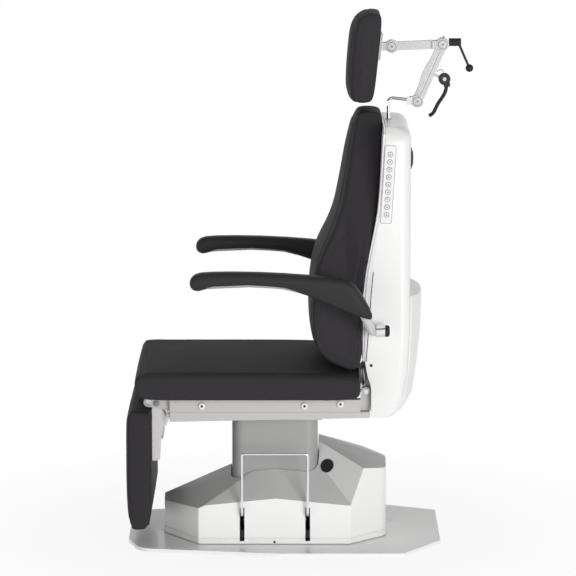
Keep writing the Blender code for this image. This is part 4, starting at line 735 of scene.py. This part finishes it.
def sew(name, obj, seams, settings, body):
    """Top stitches beside each seam, on the side of the cushion's middle."""
    tree = surface_of(obj)
    middle = sum((v.co for v in obj.data.vertices), Vector()) / len(obj.data.vertices)
    stitches = []
    for seam in seams:
        path = even_steps(seam, settings.stitch * 0.5)
        for start in range(0, len(path) - 2, 4):
            first, between, last = path[start:start + 3]
            along = (last - first).normalized()
            stitch = []
            lifts = (-STITCH_SINK, STITCH_RISE, -STITCH_SINK)
            for point, lift in zip((first, between, last), lifts):
                normal = tree.find_nearest(point)[1]
                side = normal.cross(along).normalized() * STITCH_SIDE
                if (point + side - middle).length > (point - side - middle).length:
                    side = -side
                place, normal, _, _ = tree.find_nearest(point + side)
                stitch.append(place + normal * lift)
            stitches.append(stitch)
    wire(name, stitches, THREAD_R, "sewing_thread", body, resolution=1)


def even_steps(route, step):
    """Points at even distances along a route."""
    route = [Vector(p) for p in route]
    steps = [0.0]
    for a, b in zip(route, route[1:]):
        steps.append(steps[-1] + (b - a).length)
    count = max(int(steps[-1] / step), 1)
    points = []
    index = 0
    for k in range(count + 1):
        target = steps[-1] * k / count
        while index < len(route) - 2 and steps[index + 1] < target:
            index += 1
        span = max(steps[index + 1] - steps[index], 1e-9)
        points.append(route[index].lerp(route[index + 1], (target - steps[index]) / span))
    return points


def outward(profile):
    """Outward unit normals of an XZ profile that runs counter-clockwise."""
    normals = []
    for index, _ in enumerate(profile):
        run = profile[(index + 1) % len(profile)] - profile[index - 1]
        normals.append(Vector((run.y, -run.x)).normalized())
    return normals


def swept(points, half_width, draw=0.0):
    """Cushion form before it is filled: a side profile swept across the width, with round edges.

    A profile point is x, z and, where its panel is crowned, the rise towards the middle.
    half_width gives the half width at a height, and draw pulls the sides in between their corners.
    """
    crowns = [p[2] if len(p) > 2 else 0.0 for p in points]
    profile = [Vector(p[:2]) for p in points]
    normals = outward(profile)
    low = min(p.x for p in profile)
    span = max(p.x for p in profile) - low
    arc = [math.radians(a) for a in (0, 30, 60, 90)]
    rings = [(CUSHION_EDGE * (1 - math.cos(a)), CUSHION_EDGE * (1 - math.sin(a))) for a in arc]
    stations = [(-1.0, *ring) for ring in rings]
    stations += [(share, None, 0.0) for share in (-0.8, -0.4, 0.0, 0.4, 0.8)]
    stations += [(1.0, *ring) for ring in reversed(rings)]
    bm = bmesh.new()
    loops = []
    for share, back_off, inset in stations:
        loop = []
        for point, normal, crown in zip(profile, normals, crowns):
            along = 2 * (point.x - low) / span - 1
            width = half_width(point.y) - draw * (1 - along * along)
            y = share * (width if back_off is None else width - back_off)
            place = point + normal * (crown * (1 - (y / width) ** 2) - inset)
            loop.append(bm.verts.new((place.x, y, place.y)))
        loops.append(loop)
    for first, second in zip(loops, loops[1:]):
        bridged(bm, first, second)
    ends = [bm.faces.new(loops[0]), bm.faces.new(loops[-1])]
    bmesh.ops.triangulate(bm, faces=ends, quad_method="BEAUTY", ngon_method="BEAUTY")
    bmesh.ops.recalc_face_normals(bm, faces=bm.faces)
    mesh = bpy.data.meshes.new("cushion_form")
    bm.to_mesh(mesh)
    bm.free()
    obj = placed("cushion_form", mesh)
    obj.modifiers.new("rounding", "SUBSURF").levels = 2
    form = bmesh.new()
    form.from_mesh(evaluated(obj))
    bpy.data.objects.remove(obj, do_unlink=True)
    return form


def cushion(node, body, rest, form, routes, settings):
    """A cover filled out by simulation, with sunk seams and stitches, in place of a CAD cushion.

    It lies on what carries it in the direction of rest.
    """
    form.normal_update()
    solid = BVHTree.FromBMesh(form)
    for vertex in form.verts:
        vertex.co -= vertex.normal * settings.tuck
    obj = remeshed(f"{node}_cover", form, settings.voxel)
    dressed(obj.data, "charcoal_hide")
    inflate(obj, settings)
    keep_near(obj, solid, rest, settings.proud, 0.0)
    rounded_off(obj)
    keep_near(obj, solid, rest, settings.proud, 0.0004)
    paths = [even_steps(route, SEAM_STEP) for route in routes]
    seams = draw_seams(obj, paths, settings.seam_depth)
    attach(obj, body)
    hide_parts(node)
    sew(f"{node}_stitches", obj, seams, settings, body)


def soften(node, width):
    """Round a CAD node's edges without moving its own corners."""
    obj = NODES[node]
    mesh = obj.data
    if "custom_normal" in mesh.attributes:
        mesh.attributes.remove(mesh.attributes["custom_normal"])
    mesh.shade_smooth()
    weld = obj.modifiers.new("weld", "WELD")
    weld.merge_threshold = WELD_GAP
    bevel = obj.modifiers.new("edges", "BEVEL")
    bevel.width = width
    bevel.segments = 2
    bevel.limit_method = "ANGLE"
    bevel.angle_limit = BEVEL_ANGLE
    bevel.use_clamp_overlap = True
    shading = obj.modifiers.new("shading", "WEIGHTED_NORMAL")
    shading.keep_sharp = False


def domed(radius, height):
    """Profile of a domed screw head."""
    return [(radius, 0.0), (radius, 0.35 * height), (0.86 * radius, 0.72 * height),
            (0.5 * radius, 0.94 * height), (0.0, height)]


def heads(name, places, profile, finish, body, sides=20):
    """Screw heads of one kind as one piece: each place is a point and the direction it faces."""
    bm = bmesh.new()
    for place, axis in places:
        spun(bm, profile, Vector(place) + Vector(axis) * TRIM_GAP, axis, sides)
    new_piece(name, bm, finish, body)


def both_sides(x, y, z):
    """The same place on the left and on the right side, facing outwards."""
    return [((x, side * y, z), (0, side, 0)) for _, side in SIDES]


def key_mark(bm, middle, across, along, number):
    """A small printed sign, a bar and an arrow head, turned by the key's number."""
    turn = math.radians(90 * (number % 4))
    u = across * math.cos(turn) + along * math.sin(turn)
    v = along * math.cos(turn) - across * math.sin(turn)
    thick = Vector((0, -0.00015, 0))
    bar = ((-0.0030, -0.0024), (0.0030, -0.0024), (0.0030, -0.0014), (-0.0030, -0.0014))
    head = ((-0.0022, -0.0004), (0.0022, -0.0004), (0.0, 0.0026))
    for outline in (bar, head):
        slab(bm, [middle + u * a + v * b for a, b in outline], thick)


# Operators


class ChairOperator(bpy.types.Operator):
    """Base of the chair's operators."""
    bl_options = {"REGISTER", "UNDO"}


class CHAIR_OT_finishes(ChairOperator):
    """Make every finish, and put the right one on each part of the frame."""
    bl_idname = "chair.finishes"
    bl_label = "Frame finishes"

    def execute(self, context):
        colours = context.scene.chair_finish
        upholstery = context.scene.chair_upholstery
        hide_finish(upholstery)
        thread_finish(upholstery)
        foam_finish(upholstery)
        lacquer_finish("white_lacquer", colours.lacquer)
        # The plate and the base cover take the brighter white, which is painted light
        lacquer_finish("plate_lacquer", BASE_WHITE_PAINTED_LIGHT, 0.36, 0.35)
        # The base cover's upward faces get a painted shade
        cover_finish(BASE_WHITE_PAINTED_LIGHT, ROOF_PAINTED_SHADE)
        lacquer_finish("white_cover", tuple(0.96 * c for c in colours.lacquer), 0.36)
        lacquer_finish("pan_plastic", (0.84, 0.80, 0.83), 0.42, 0.0)
        lacquer_finish("column_grey", colours.column, 0.40, 0.1)
        lacquer_finish("frame_grey", colours.rail, 0.40, 0.1)
        lacquer_finish("bracket_grey", (0.80, 0.78, 0.765), 0.42, 0.1)
        lacquer_finish("arm_strip", (0.34, 0.34, 0.34), 0.45, 0.0)
        lacquer_finish("keypad_foil", (0.86, 0.86, 0.86), 0.36, 0.1)
        lacquer_finish("key_foil", (0.83, 0.83, 0.83), 0.34, 0.1)
        brushed_finish("steel", GROUND_STEEL, (1.0, 60.0, 60.0))
        brushed_finish("upright_steel", GROUND_STEEL, (60.0, 60.0, 1.0))
        chrome_finish((0.80, 0.80, 0.81))
        alloy_finish(colours.alloy)
        plastic_finish("black_plastic", colours.plastic)
        plastic_finish("grey_plastic", (0.30, 0.30, 0.30))
        plastic_finish("dark_board", (0.032, 0.031, 0.033), 0.7, 300.0)
        plastic_finish("key_ink", (0.10, 0.10, 0.105), 0.5, 500.0)
        plastic_finish("rubber", (0.020, 0.020, 0.020), 0.65, 1200.0)
        for finish, names in PARTS_BY_FINISH.items():
            for name in names:
                dressed(NODES[name].data, finish)
        widths = {name: width for width, names in PARTS_BY_EDGE.items() for name in names}
        for name in NODES:
            soften(name, widths.get(name, colours.edge))
        return {"FINISHED"}


class CHAIR_OT_seat_cushion(ChairOperator):
    """Seat cushion: boxed edge with a seam round its top panel and its underside."""
    bl_idname = "chair.seat_cushion"
    bl_label = "Seat cushion"

    def execute(self, context):
        low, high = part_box("seat_cushion")
        front, rear, bottom, side = low.x, high.x, low.z, high.y
        top = bottom + 0.0707
        crown = 0.010
        profile = [
            (front + 0.036, bottom), (-0.15, bottom), (0.05, bottom), (rear - 0.014, bottom),
            (rear, bottom + 0.012), (rear, top - 0.018), (rear - 0.012, top - 0.006),
            (0.10, top, 0.7 * crown), (-0.15, top, crown), (front + 0.034, top, 0.6 * crown),
            (front + 0.012, top - 0.001, 0.3 * crown), (front + 0.003, top - 0.009, 0.3 * crown),
            (front, bottom + 0.034), (front + 0.013, bottom + 0.009)]
        form = swept(profile, lambda z: side, draw=0.005)
        x0, x1, y = front + SEAM_INSET, rear - SEAM_INSET, side - SEAM_INSET
        routes = [[(x0, -y, z), (x1, -y, z), (x1, y, z), (x0, y, z), (x0, -y, z)]
                  for z in (top - SEAM_INSET, bottom + SEAM_INSET)]
        settings = context.scene.chair_upholstery
        cushion("seat_cushion", "carriage", (0, 0, -1), form, routes, settings)
        return {"FINISHED"}


class CHAIR_OT_back_cushion(ChairOperator):
    """Back cushion: a crowned front panel sewn to two curved side panels."""
    bl_idname = "chair.back_cushion"
    bl_label = "Back cushion"

    def execute(self, context):
        bottom, top = 0.5055, 1.2065
        taper_start, taper, widest = 0.78, 0.157, 0.235
        rear = [
            (0.2405, 0.56), (0.2405, 0.65), (0.239, 0.705), (0.249, 0.783), (0.2575, 0.827),
            (0.270, 0.888), (0.281, 0.944), (0.286, 0.999), (0.290, 1.066), (0.294, 1.149),
            (0.298, 1.189)]
        front = [
            (0.2265, top - 0.008, 0.006), (0.220, 1.161, 0.012), (0.2095, 1.099, 0.016),
            (0.2025, 1.043, 0.018), (0.191, 0.981, 0.018), (0.180, 0.938, 0.016),
            (0.163, 0.893, 0.014), (0.147, 0.861, 0.013), (0.129, 0.827, 0.012),
            (0.1125, 0.780, 0.011), (0.104, 0.705, 0.010), (0.1035, 0.630, 0.009),
            (0.1095, 0.572, 0.004)]
        toe = [(0.137, 0.5385), (0.192, bottom + 0.006), (0.234, bottom)]

        def half_width(z):
            share = (z - taper_start) / (top - taper_start)
            return widest - taper * min(max(share, 0.0), 1.0)
        form = swept([*toe, *rear, (0.290, top), (0.237, top, 0.003), *front], half_width)
        crest = [(0.240, top - SEAM_INSET), (0.284, top)]
        edge = [(p[0] + SEAM_INSET, p[1]) for p in (*reversed(toe[:2]), *reversed(front), *crest)]
        routes = [[(x, side * (half_width(z) - SEAM_INSET), z) for x, z in edge]
                  for _, side in SIDES]
        settings = context.scene.chair_upholstery
        cushion("back_cushion", "backrest", (1, 0, 0), form, routes, settings)
        return {"FINISHED"}


class CHAIR_OT_leg_cushion(ChairOperator):
    """Leg cushion: pad with a seam round its front panel, drawn over the edge of its board."""
    bl_idname = "chair.leg_cushion"
    bl_label = "Leg cushion"

    def execute(self, context):
        front, back, bottom, top = -0.4065, -0.3406, 0.061, 0.398
        crown = 0.006
        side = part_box("leg_cushion")[1].y
        profile = [
            (front + 0.015, bottom), (back - 0.022, bottom), (back - 0.010, bottom + 0.008),
            (back - 0.003, bottom + 0.046), (back, bottom + 0.076), (back, 0.28),
            (back, top - 0.014), (back - 0.005, top - 0.006), (back - 0.018, top - 0.003),
            (front + 0.014, top), (front + 0.004, top - 0.006), (front, top - 0.028, 0.5 * crown),
            (front, 0.28, crown), (front, bottom + 0.080, crown),
            (front + 0.007, bottom + 0.009, 0.4 * crown)]
        form = swept(profile, lambda z: side, draw=0.003)
        y, x = side - SEAM_INSET, front + SEAM_INSET
        z0, z1 = bottom + 0.010, top - 0.008
        route = [(x, -y, z0), (x, y, z0), (x, y, z1), (x, -y, z1), (x, -y, z0)]
        settings = context.scene.chair_upholstery
        cushion("leg_cushion", "leg_rest", (1, 0, 0), form, [route], settings)
        return {"FINISHED"}


class CHAIR_OT_head_cushion(ChairOperator):
    """Head cushion: crowned pad with a seam round its front panel."""
    bl_idname = "chair.head_cushion"
    bl_label = "Head cushion"

    def execute(self, context):
        bottom, top = 1.2295, 1.4765
        height = top - bottom
        crown = 0.013
        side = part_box("head_cushion")[1].y

        def rear(z):
            return 0.2728 + 0.0977 * (z - bottom)

        def front(share):
            return 0.209 + 0.020 * share ** 2.2, bottom + share * height, crown
        lower, upper = bottom + 0.35 * height, top - 0.4 * height
        profile = [
            (0.224, bottom, 0.3 * crown), (rear(bottom) - 0.010, bottom),
            (rear(bottom), bottom + 0.012), (rear(lower), lower), (rear(upper), upper),
            (rear(top - 0.012), top - 0.012), (rear(top) - 0.009, top), (0.255, top, 0.2 * crown),
            (0.241, top - 0.007, 0.5 * crown), front(0.91), front(0.72), front(0.45), front(0.18),
            (0.210, bottom + 0.010, 0.7 * crown)]
        form = swept(profile, lambda z: side)
        edge = [(p[0] + SEAM_INSET, p[1]) for p in (profile[0], *reversed(profile[7:]))]
        rise = [(x, SEAM_INSET - side, z) for x, z in edge]
        fall = [(x, side - SEAM_INSET, z) for x, z in reversed(edge)]
        settings = context.scene.chair_upholstery
        cushion("head_cushion", "head", (1, 0, 0), form, [[*rise, *fall, rise[0]]], settings)
        return {"FINISHED"}


class CHAIR_OT_armrests(ChairOperator):
    """Moulded armrest pads with parting line and underside plate, and the caps on their tubes."""
    bl_idname = "chair.armrests"
    bl_label = "Armrests"

    def execute(self, context):
        for word, side in SIDES:
            node, body = f"armrest_pad_{word}", f"armrest_{word}"
            shape = welded_copy(node)
            solid = BVHTree.FromBMesh(shape)
            pad = remeshed(f"{node}_foam", shape, 0.003)
            rounder = pad.modifiers.new("rounding", "SMOOTH")
            rounder.factor = 0.5
            rounder.iterations = 4
            apply_modifiers(pad)
            dressed(pad.data, "arm_foam")
            keep_near(pad, solid, (0, 0, -1), 0.001, 0.0006)
            rounded_off(pad)
            routes = [[(x, side * ARM_Y + face * ARM_HALF_WIDTH, ARM_TOP - drop)
                       for x, drop in ARM_PARTING] for face in (-1, 1)]
            draw_seams(pad, [even_steps(route, 0.002) for route in routes], 0.0009, 0.0018)
            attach(pad, body)
            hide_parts(node)
            self.underside(word, side * ARM_Y, body)
            self.cap(word, side * ARM_AXIS_Y, body)
        return {"FINISHED"}

    def underside(self, word, y, body):
        """Grey plate let into the underside of a pad, which runs out towards the rear."""
        bm = bmesh.new()
        rows = []
        last = len(ARM_UNDERSIDE) - 1
        for index, (x, drop, thick) in enumerate(ARM_UNDERSIDE):
            low = ARM_TOP - drop - 0.0004
            high = low + thick
            half = 0.0268 if 0 < index < last else 0.0240
            section = [(-half + 0.0025, low), (half - 0.0025, low), (half, low + 0.0016),
                       (half, high), (-half, high), (-half, low + 0.0016)]
            rows.append([bm.verts.new((x, y + a, z)) for a, z in section])
        for first, second in zip(rows, rows[1:]):
            bridged(bm, first, second)
        bm.faces.new(rows[0])
        bm.faces.new(rows[-1])
        new_piece(f"arm_plate_{word}", bm, "arm_strip", body, 30)

    def cap(self, word, y, body):
        """Cap on the rear end of a tube, with a round middle let into it."""
        r = ARM_TUBE_R
        start = COLLAR_REAR + 0.0006
        length = ARM_TUBE_END - COLLAR_REAR - 0.0006
        place, axis = (start, y, ARM_AXIS_Z), (1, 0, 0)
        shell = [(r + 0.0002, 0.0), (r + 0.0018, 0.0), (r + 0.0024, 0.0008),
                 (r + 0.0024, length * 0.6), (r + 0.0012, length), (r * 0.8, length + 0.0016),
                 (r * 0.4, length + 0.0024), (r * 0.4, length + 0.0006),
                 (r + 0.0002, length + 0.0002)]
        middle = [(r * 0.385, length + 0.0006), (r * 0.36, length + 0.0018), (0.0, length + 0.0022)]
        bm = bmesh.new()
        spun(bm, shell, place, axis, hollow=True)
        spun(bm, middle, place, axis)
        new_piece(f"arm_cap_{word}", bm, "rubber", body)


class CHAIR_OT_keypad(ChairOperator):
    """Printed border of the keypad, and the ring and mark on each key."""
    bl_idname = "chair.keypad"
    bl_label = "Keypad"

    def execute(self, context):
        x, z = PANEL_CENTRE
        along = Vector((math.sin(PANEL_TILT), 0.0, math.cos(PANEL_TILT)))
        across = Vector((math.cos(PANEL_TILT), 0.0, -math.sin(PANEL_TILT)))
        centre = Vector((x, PANEL_FACE - TRIM_GAP, z))
        border = []
        for sx, sz, start in ((1, -1, -90), (1, 1, 0), (-1, 1, 90), (-1, -1, 180)):
            for step in range(6):
                turn = math.radians(start + 18 * step)
                u = sx * (BORDER_HALF_WIDTH - BORDER_R) + BORDER_R * math.cos(turn)
                v = sz * (BORDER_HALF_LENGTH - BORDER_R) + BORDER_R * math.sin(turn)
                border.append(centre + across * u + along * v)
        wire("keypad_border", [border], 0.00045, "key_ink", "backrest", cyclic=True)
        ring = [(0.0060, 0.0), (0.0060, 0.0002), (0.0070, 0.0002), (0.0070, 0.0)]
        first = Vector((x, KEY_FACE - 0.00005, z))
        for number, key in enumerate(KEYS):
            middle = first + along * KEY_PITCH * ((KEY_COUNT - 1) / 2 - number)
            bm = bmesh.new()
            spun(bm, ring, middle, (0, -1, 0), hollow=True)
            key_mark(bm, middle, across, along, number)
            new_piece(f"key_print_{number + 1}", bm, "key_ink", key)
        return {"FINISHED"}


class CHAIR_OT_frame_screws(ChairOperator):
    """Screw heads of the seat rails and the leg rest."""
    bl_idname = "chair.frame_screws"
    bl_label = "Frame screws"

    def execute(self, context):
        ring = [(0.0036, 0.0), (0.0036, 0.0020), (0.0056, 0.0020), (0.0080, 0.0015),
                (0.0090, 0.0008), (0.0090, 0.0)]
        socket = [(0.0035, 0.0001), (0.0035, 0.0008), (0.0, 0.0008)]
        rings, sockets = bmesh.new(), bmesh.new()
        for x, z in RAIL_BOLTS:
            for place, axis in both_sides(x, RAIL_FACE, z):
                face = Vector(place) + Vector(axis) * TRIM_GAP
                spun(rings, ring, face, axis, hollow=True)
                spun(sockets, socket, face, axis, 6)
        new_piece("rail_screw_heads", rings, "white_lacquer", "carriage")
        new_piece("rail_screw_sockets", sockets, "black_plastic", "carriage")
        hinge = both_sides(LEG_BOLT[0], LUG_FACE, LEG_BOLT[1])
        heads("leg_hinge_screws", hinge, domed(0.0085, 0.005), "grey_plastic", "carriage")
        ends = [((RAIL_FRONT, side * RAIL_MIDDLE, RAIL_END_Z), (-1, 0, 0)) for _, side in SIDES]
        heads("rail_end_screws", ends, domed(0.0062, 0.0075), "white_lacquer", "carriage")
        rear = [((LEG_STRIP_REAR, side * LEG_SCREW_Y, LEG_SCREW_Z), (1, 0, 0)) for _, side in SIDES]
        heads("leg_strip_screws", rear, domed(0.0048, 0.0050), "grey_plastic", "leg_rest")
        return {"FINISHED"}


class CHAIR_OT_base_trim(ChairOperator):
    """Slot liners, a dark sheet in each slot that paints its shade, screws and plugs of the base.
    """
    bl_idname = "chair.base_trim"
    bl_label = "Base trim"

    def execute(self, context):
        skirt = both_sides(SKIRT_SCREW[0], SKIRT_SIDE, SKIRT_SCREW[1])
        heads("skirt_screws", skirt, domed(0.0034, 0.0014), "black_plastic", "turntable",
              16)
        plugs = [((PLUG_X, side * PLUG_Y, PLATE_TOP), (0, 0, 1)) for _, side in SIDES]
        heads("plate_plugs", plugs, domed(0.0095, 0.0024), "white_lacquer", "base")
        bm = bmesh.new()

        def upright(x0, x1, y, top, depth):
            face = [(x0, y, foot), (x1, y, foot), (x1, y, top), (x0, y, top)]
            slab(bm, face, Vector((0, depth, 0)))
        foot, head = SLOT_FOOT + 0.0095, SLOT_HEAD + 0.0018
        outer, inner = SLOT_HALF - 0.0002, SLOT_HALF - 0.0013
        for x in (-SLOT_X, SLOT_X):
            for a, b in ((-outer, -inner), (inner, outer)):
                upright(x + a, x + b, -COVER_SIDE - 0.0006, head, 0.016)
            # Painted shade: a dark sheet across the back of the slot's lower part keeps it dark
            # where shade falls
            upright(x - outer, x + outer, -COVER_SIDE + 0.002, SLOT_SHADE_SHEET_TOP, 0.001)
        new_piece("pedal_slot_liners", bm, "rubber", "turntable")
        return {"FINISHED"}


class CHAIR_OT_shell_trim(ChairOperator):
    """Edges of the back pan and the strip over it, shell screws, mast grommet and knob ribs."""
    bl_idname = "chair.shell_trim"
    bl_label = "Shell trim"

    def execute(self, context):
        self.pan_edges()
        screws = both_sides(SHELL_SCREW[0], SHELL_SIDE, SHELL_SCREW[1])
        heads("shell_screws", screws, domed(0.0042, 0.0014), "black_plastic", "backrest",
              16)
        ring = bmesh.new()
        spun(ring, [(0.0064, 0.0), (0.0064, 0.0020), (0.0076, 0.0018), (0.0088, 0.0008),
                    (0.0090, 0.0)], (MAST_X, 0, SHELL_TOP + 0.0002), (0, 0, 1), hollow=True)
        new_piece("mast_grommet", ring, "cast_alloy", "backrest")
        strip = bmesh.new()
        low, high = PAN_TOP + 0.0003, SHELL_TOP - 0.0004
        outline = ((-STRIP_HALF_LOW, low), (STRIP_HALF_LOW, low), (STRIP_HALF_HIGH, high),
                   (-STRIP_HALF_HIGH, high))
        face = [(STRIP_REAR, y, z) for y, z in outline]
        slab(strip, face, Vector((STRIP_FRONT - STRIP_REAR, 0, 0)))
        new_piece("pan_top_strip", strip, "white_lacquer", "backrest")
        rib = [(0.0011, -0.0022), (0.0011, 0.0040), (0.0006, 0.0048), (0.0, 0.0050)]
        ribs = bmesh.new()
        for k in range(KNOB_RIBS):
            turn = 2 * math.pi * k / KNOB_RIBS
            out = Vector((0, math.cos(turn), math.sin(turn)))
            foot = Vector((KNOB_FACE, 0, KNOB_Z)) + out * (KNOB_R * 0.955)
            spun(ribs, rib, foot, (1, 0, 0), 8)
        new_piece("knob_ribs", ribs, "black_plastic", "knob")
        return {"FINISHED"}

    def pan_edges(self):
        """Edge of the pan on each side of the shell, and a black line behind it that paints the
        shade in the slit between pan and shell.
        """
        lines = []
        for word, side in SIDES:
            y = side * (SHELL_SIDE + TRIM_GAP)
            front = [(a, y, z) for a, z, _ in PAN_EDGE]
            rear = [(b, y, z) for _, z, b in PAN_EDGE]
            bm = bmesh.new()
            slab(bm, [*front, *reversed(rear)], Vector((0, side * 0.0007, 0)))
            new_piece(f"pan_edge_{word}", bm, "pan_plastic", "backrest")
            # Painted shade: a black line along the pan's rear edge stands in for the shade in the
            # slit
            lines.append([(b, y + side * 0.0004, z) for _, z, b in PAN_EDGE if z < PAN_SLIT_SHADE_TOP])
        wire("pan_joint_lines", lines, 0.0012, "black_plastic", "backrest")


class CHAIR_OT_headrest_trim(ChairOperator):
    """Cover discs on the headrest joints, the caps on the elbow and the wire of the cam lever."""
    bl_idname = "chair.headrest_trim"
    bl_label = "Headrest trim"

    def execute(self, context):
        disc = [(0.0033, 0.0), (0.0033, 0.0018), (0.0052, 0.0018), (0.0108, 0.0014),
                (0.0112, 0.0004), (0.0130, 0.0004), (0.0134, 0.0012), (0.0158, 0.0012),
                (0.0167, 0.0006), (0.0167, 0.0)]
        # Painted shade: a grey ring lies in each disc's groove to darken it where shade falls
        groove_shade = [(0.0113, 0.0001), (0.0113, 0.0006), (0.0129, 0.0006), (0.0129, 0.0001)]
        dot = [(0.0032, 0.0001), (0.0032, 0.0010), (0.0, 0.0010)]
        for name, joint, body in (("mast", LOW_JOINT, "mast"), ("elbow", ELBOW, "upper_link"),
                                  ("head", HEAD_JOINT, "head")):
            discs, dots = bmesh.new(), bmesh.new()
            for place, axis in both_sides(joint[0], CHEEK_FACE + TRIM_GAP, joint[1]):
                spun(discs, disc, place, axis, 32, hollow=True)
                spun(dots, dot, place, axis, 6)
                spun(dots, groove_shade, place, axis, 32, hollow=True)
            new_piece(f"{name}_joint_discs", discs, "cast_alloy", body)
            new_piece(f"{name}_joint_sockets", dots, "grey_plastic", body)
        x, z = ELBOW[0] + 0.003, ELBOW[1] + JOINT_R - 0.0006
        caps = [((x, side * ELBOW_CAP_Y, z), (0, 0, 1)) for _, side in SIDES]
        heads("elbow_cap", caps, domed(0.0024, 0.0040), "grey_plastic", "upper_link",
              16)
        loop = [(x, 0.0, z) for x, z in CAM_WIRE]
        wire("cam_wire", [loop], 0.0009, "black_plastic", "lower_link")
        return {"FINISHED"}


class CHAIR_OT_stage(ChairOperator):
    """Pale floor, soft lamps and the camera."""
    bl_idname = "chair.stage"
    bl_label = "Stage"

    def execute(self, context):
        scene = context.scene
        settings = scene.chair_stage
        scene.view_settings.view_transform = "Standard"
        self.make_floor(settings.floor_glow)
        self.make_world(scene, settings.world_level)
        for name, place, size, power in LAMPS:
            lamp = bpy.data.lights.new(name, "AREA")
            lamp.shape = "SQUARE"
            lamp.size = size
            lamp.energy = getattr(settings, power)
            aim = (LAMP_AIM - Vector(place)).to_track_quat("-Z", "Y").to_matrix().to_4x4()
            placed(name, lamp).matrix_world = Matrix.Translation(place) @ aim
        lens = bpy.data.cameras.new("camera")
        lens.sensor_width = SENSOR_WIDTH
        lens.lens = settings.focal_length
        camera = placed("camera", lens)
        camera.location = settings.camera_place
        camera.rotation_euler = (math.pi / 2 - settings.camera_pitch, 0.0, 0.0)
        scene.camera = camera
        return {"FINISHED"}

    def seen(self, start):
        """One for the rays that show the background itself: straight, glossy or through glass."""
        camera, gloss, glass = (
            start.node("ShaderNodeLightPath", {}, {}, output=f"Is {kind} Ray")
            for kind in ("Camera", "Glossy", "Transmission"))
        return camera + gloss + glass

    def make_floor(self, glow):
        """A wide floor that the camera sees as white, apart from the shadow near the chair."""
        bm = bmesh.new()
        bmesh.ops.create_grid(bm, x_segments=8, y_segments=8, size=FLOOR_HALF)
        floor = placed("floor", mesh_of(bm, "floor"))
        floor.location.z = FLOOR_Z
        material = bpy.data.materials.new("pale_floor")
        material.use_nodes = True
        material.node_tree.nodes.clear()
        start = Socket(material.node_tree)
        place = start.node("ShaderNodeTexCoord", {}, {}, output="Object")
        reach = start.node("ShaderNodeVectorMath", {"operation": "LENGTH"}, {0: place},
                           output="Value")
        far = start.node("ShaderNodeValToRGB", {"stops": [(0.0, 0.90), (1.0, 1.0)]},
                         {0: (reach - SHADOW_START) / SHADOW_REACH})
        seen = self.seen(start)
        matt = start.node("ShaderNodeBsdfDiffuse", {}, {"Color": FLOOR_GREY})
        bright = start.node("ShaderNodeEmission", {}, {"Color": WHITE, "Strength": 1.0})
        share = far * seen + glow * (1 - seen)
        mixed = start.node("ShaderNodeMixShader", {}, {0: share, 1: matt, 2: bright})
        start.node("ShaderNodeOutputMaterial", {}, {"Surface": mixed})
        floor.data.materials.append(material)

    def make_world(self, scene, level):
        """Even light, which the camera and gloss see as a white room with a dim ceiling."""
        world = bpy.data.worlds.new("studio")
        world.use_nodes = True
        scene.world = world
        world.node_tree.nodes.clear()
        start = Socket(world.node_tree)
        way = start.node("ShaderNodeTexCoord", {}, {}, output="Generated")
        up = start.node("ShaderNodeSeparateXYZ", {}, {0: way}, output="Z")
        room = start.node("ShaderNodeValToRGB", {"stops": [(0.35, 1.0), (0.75, 0.10)]}, {0: up})
        even = start.node("ShaderNodeBackground", {}, {"Color": WHITE, "Strength": level})
        white = start.node("ShaderNodeBackground", {}, {"Color": room, "Strength": 1.0})
        mixed = start.node("ShaderNodeMixShader", {}, {0: self.seen(start), 1: even, 2: white})
        start.node("ShaderNodeOutputWorld", {}, {"Surface": mixed})


class CHAIR_PT_panel(bpy.types.Panel):
    """The chair's operators and settings."""
    bl_idname = "CHAIR_PT_panel"
    bl_label = "Examination chair"
    bl_space_type = "VIEW_3D"
    bl_region_type = "UI"
    bl_category = "Chair"

    def draw(self, context):
        for operator in OPERATORS:
            self.layout.operator(operator.bl_idname)
        for group in GROUPS:
            settings = getattr(context.scene, group)
            for name in settings.__annotations__:
                self.layout.prop(settings, name)


OPERATORS = (
    CHAIR_OT_finishes, CHAIR_OT_seat_cushion, CHAIR_OT_back_cushion, CHAIR_OT_leg_cushion,
    CHAIR_OT_head_cushion, CHAIR_OT_armrests, CHAIR_OT_keypad, CHAIR_OT_frame_screws,
    CHAIR_OT_base_trim, CHAIR_OT_shell_trim, CHAIR_OT_headrest_trim, CHAIR_OT_stage)
GROUPS = {
    "chair_upholstery": UpholsterySettings,
    "chair_finish": FinishSettings,
    "chair_stage": StageSettings,
}


def register():
    for group in GROUPS.values():
        bpy.utils.register_class(group)
    for operator in OPERATORS:
        bpy.utils.register_class(operator)
    bpy.utils.register_class(CHAIR_PT_panel)
    for name, group in GROUPS.items():
        setattr(bpy.types.Scene, name, PointerProperty(type=group))


def unregister():
    for name in GROUPS:
        delattr(bpy.types.Scene, name)
    bpy.utils.unregister_class(CHAIR_PT_panel)
    for operator in reversed(OPERATORS):
        bpy.utils.unregister_class(operator)
    for group in GROUPS.values():
        bpy.utils.unregister_class(group)


def main():
    register()
    bpy.ops.chair.finishes()
    bpy.ops.chair.seat_cushion()
    bpy.ops.chair.back_cushion()
    bpy.ops.chair.leg_cushion()
    bpy.ops.chair.head_cushion()
    bpy.ops.chair.armrests()
    bpy.ops.chair.keypad()
    bpy.ops.chair.frame_screws()
    bpy.ops.chair.base_trim()
    bpy.ops.chair.shell_trim()
    bpy.ops.chair.headrest_trim()
    bpy.ops.chair.stage()


if __name__ == "__main__":
    main()
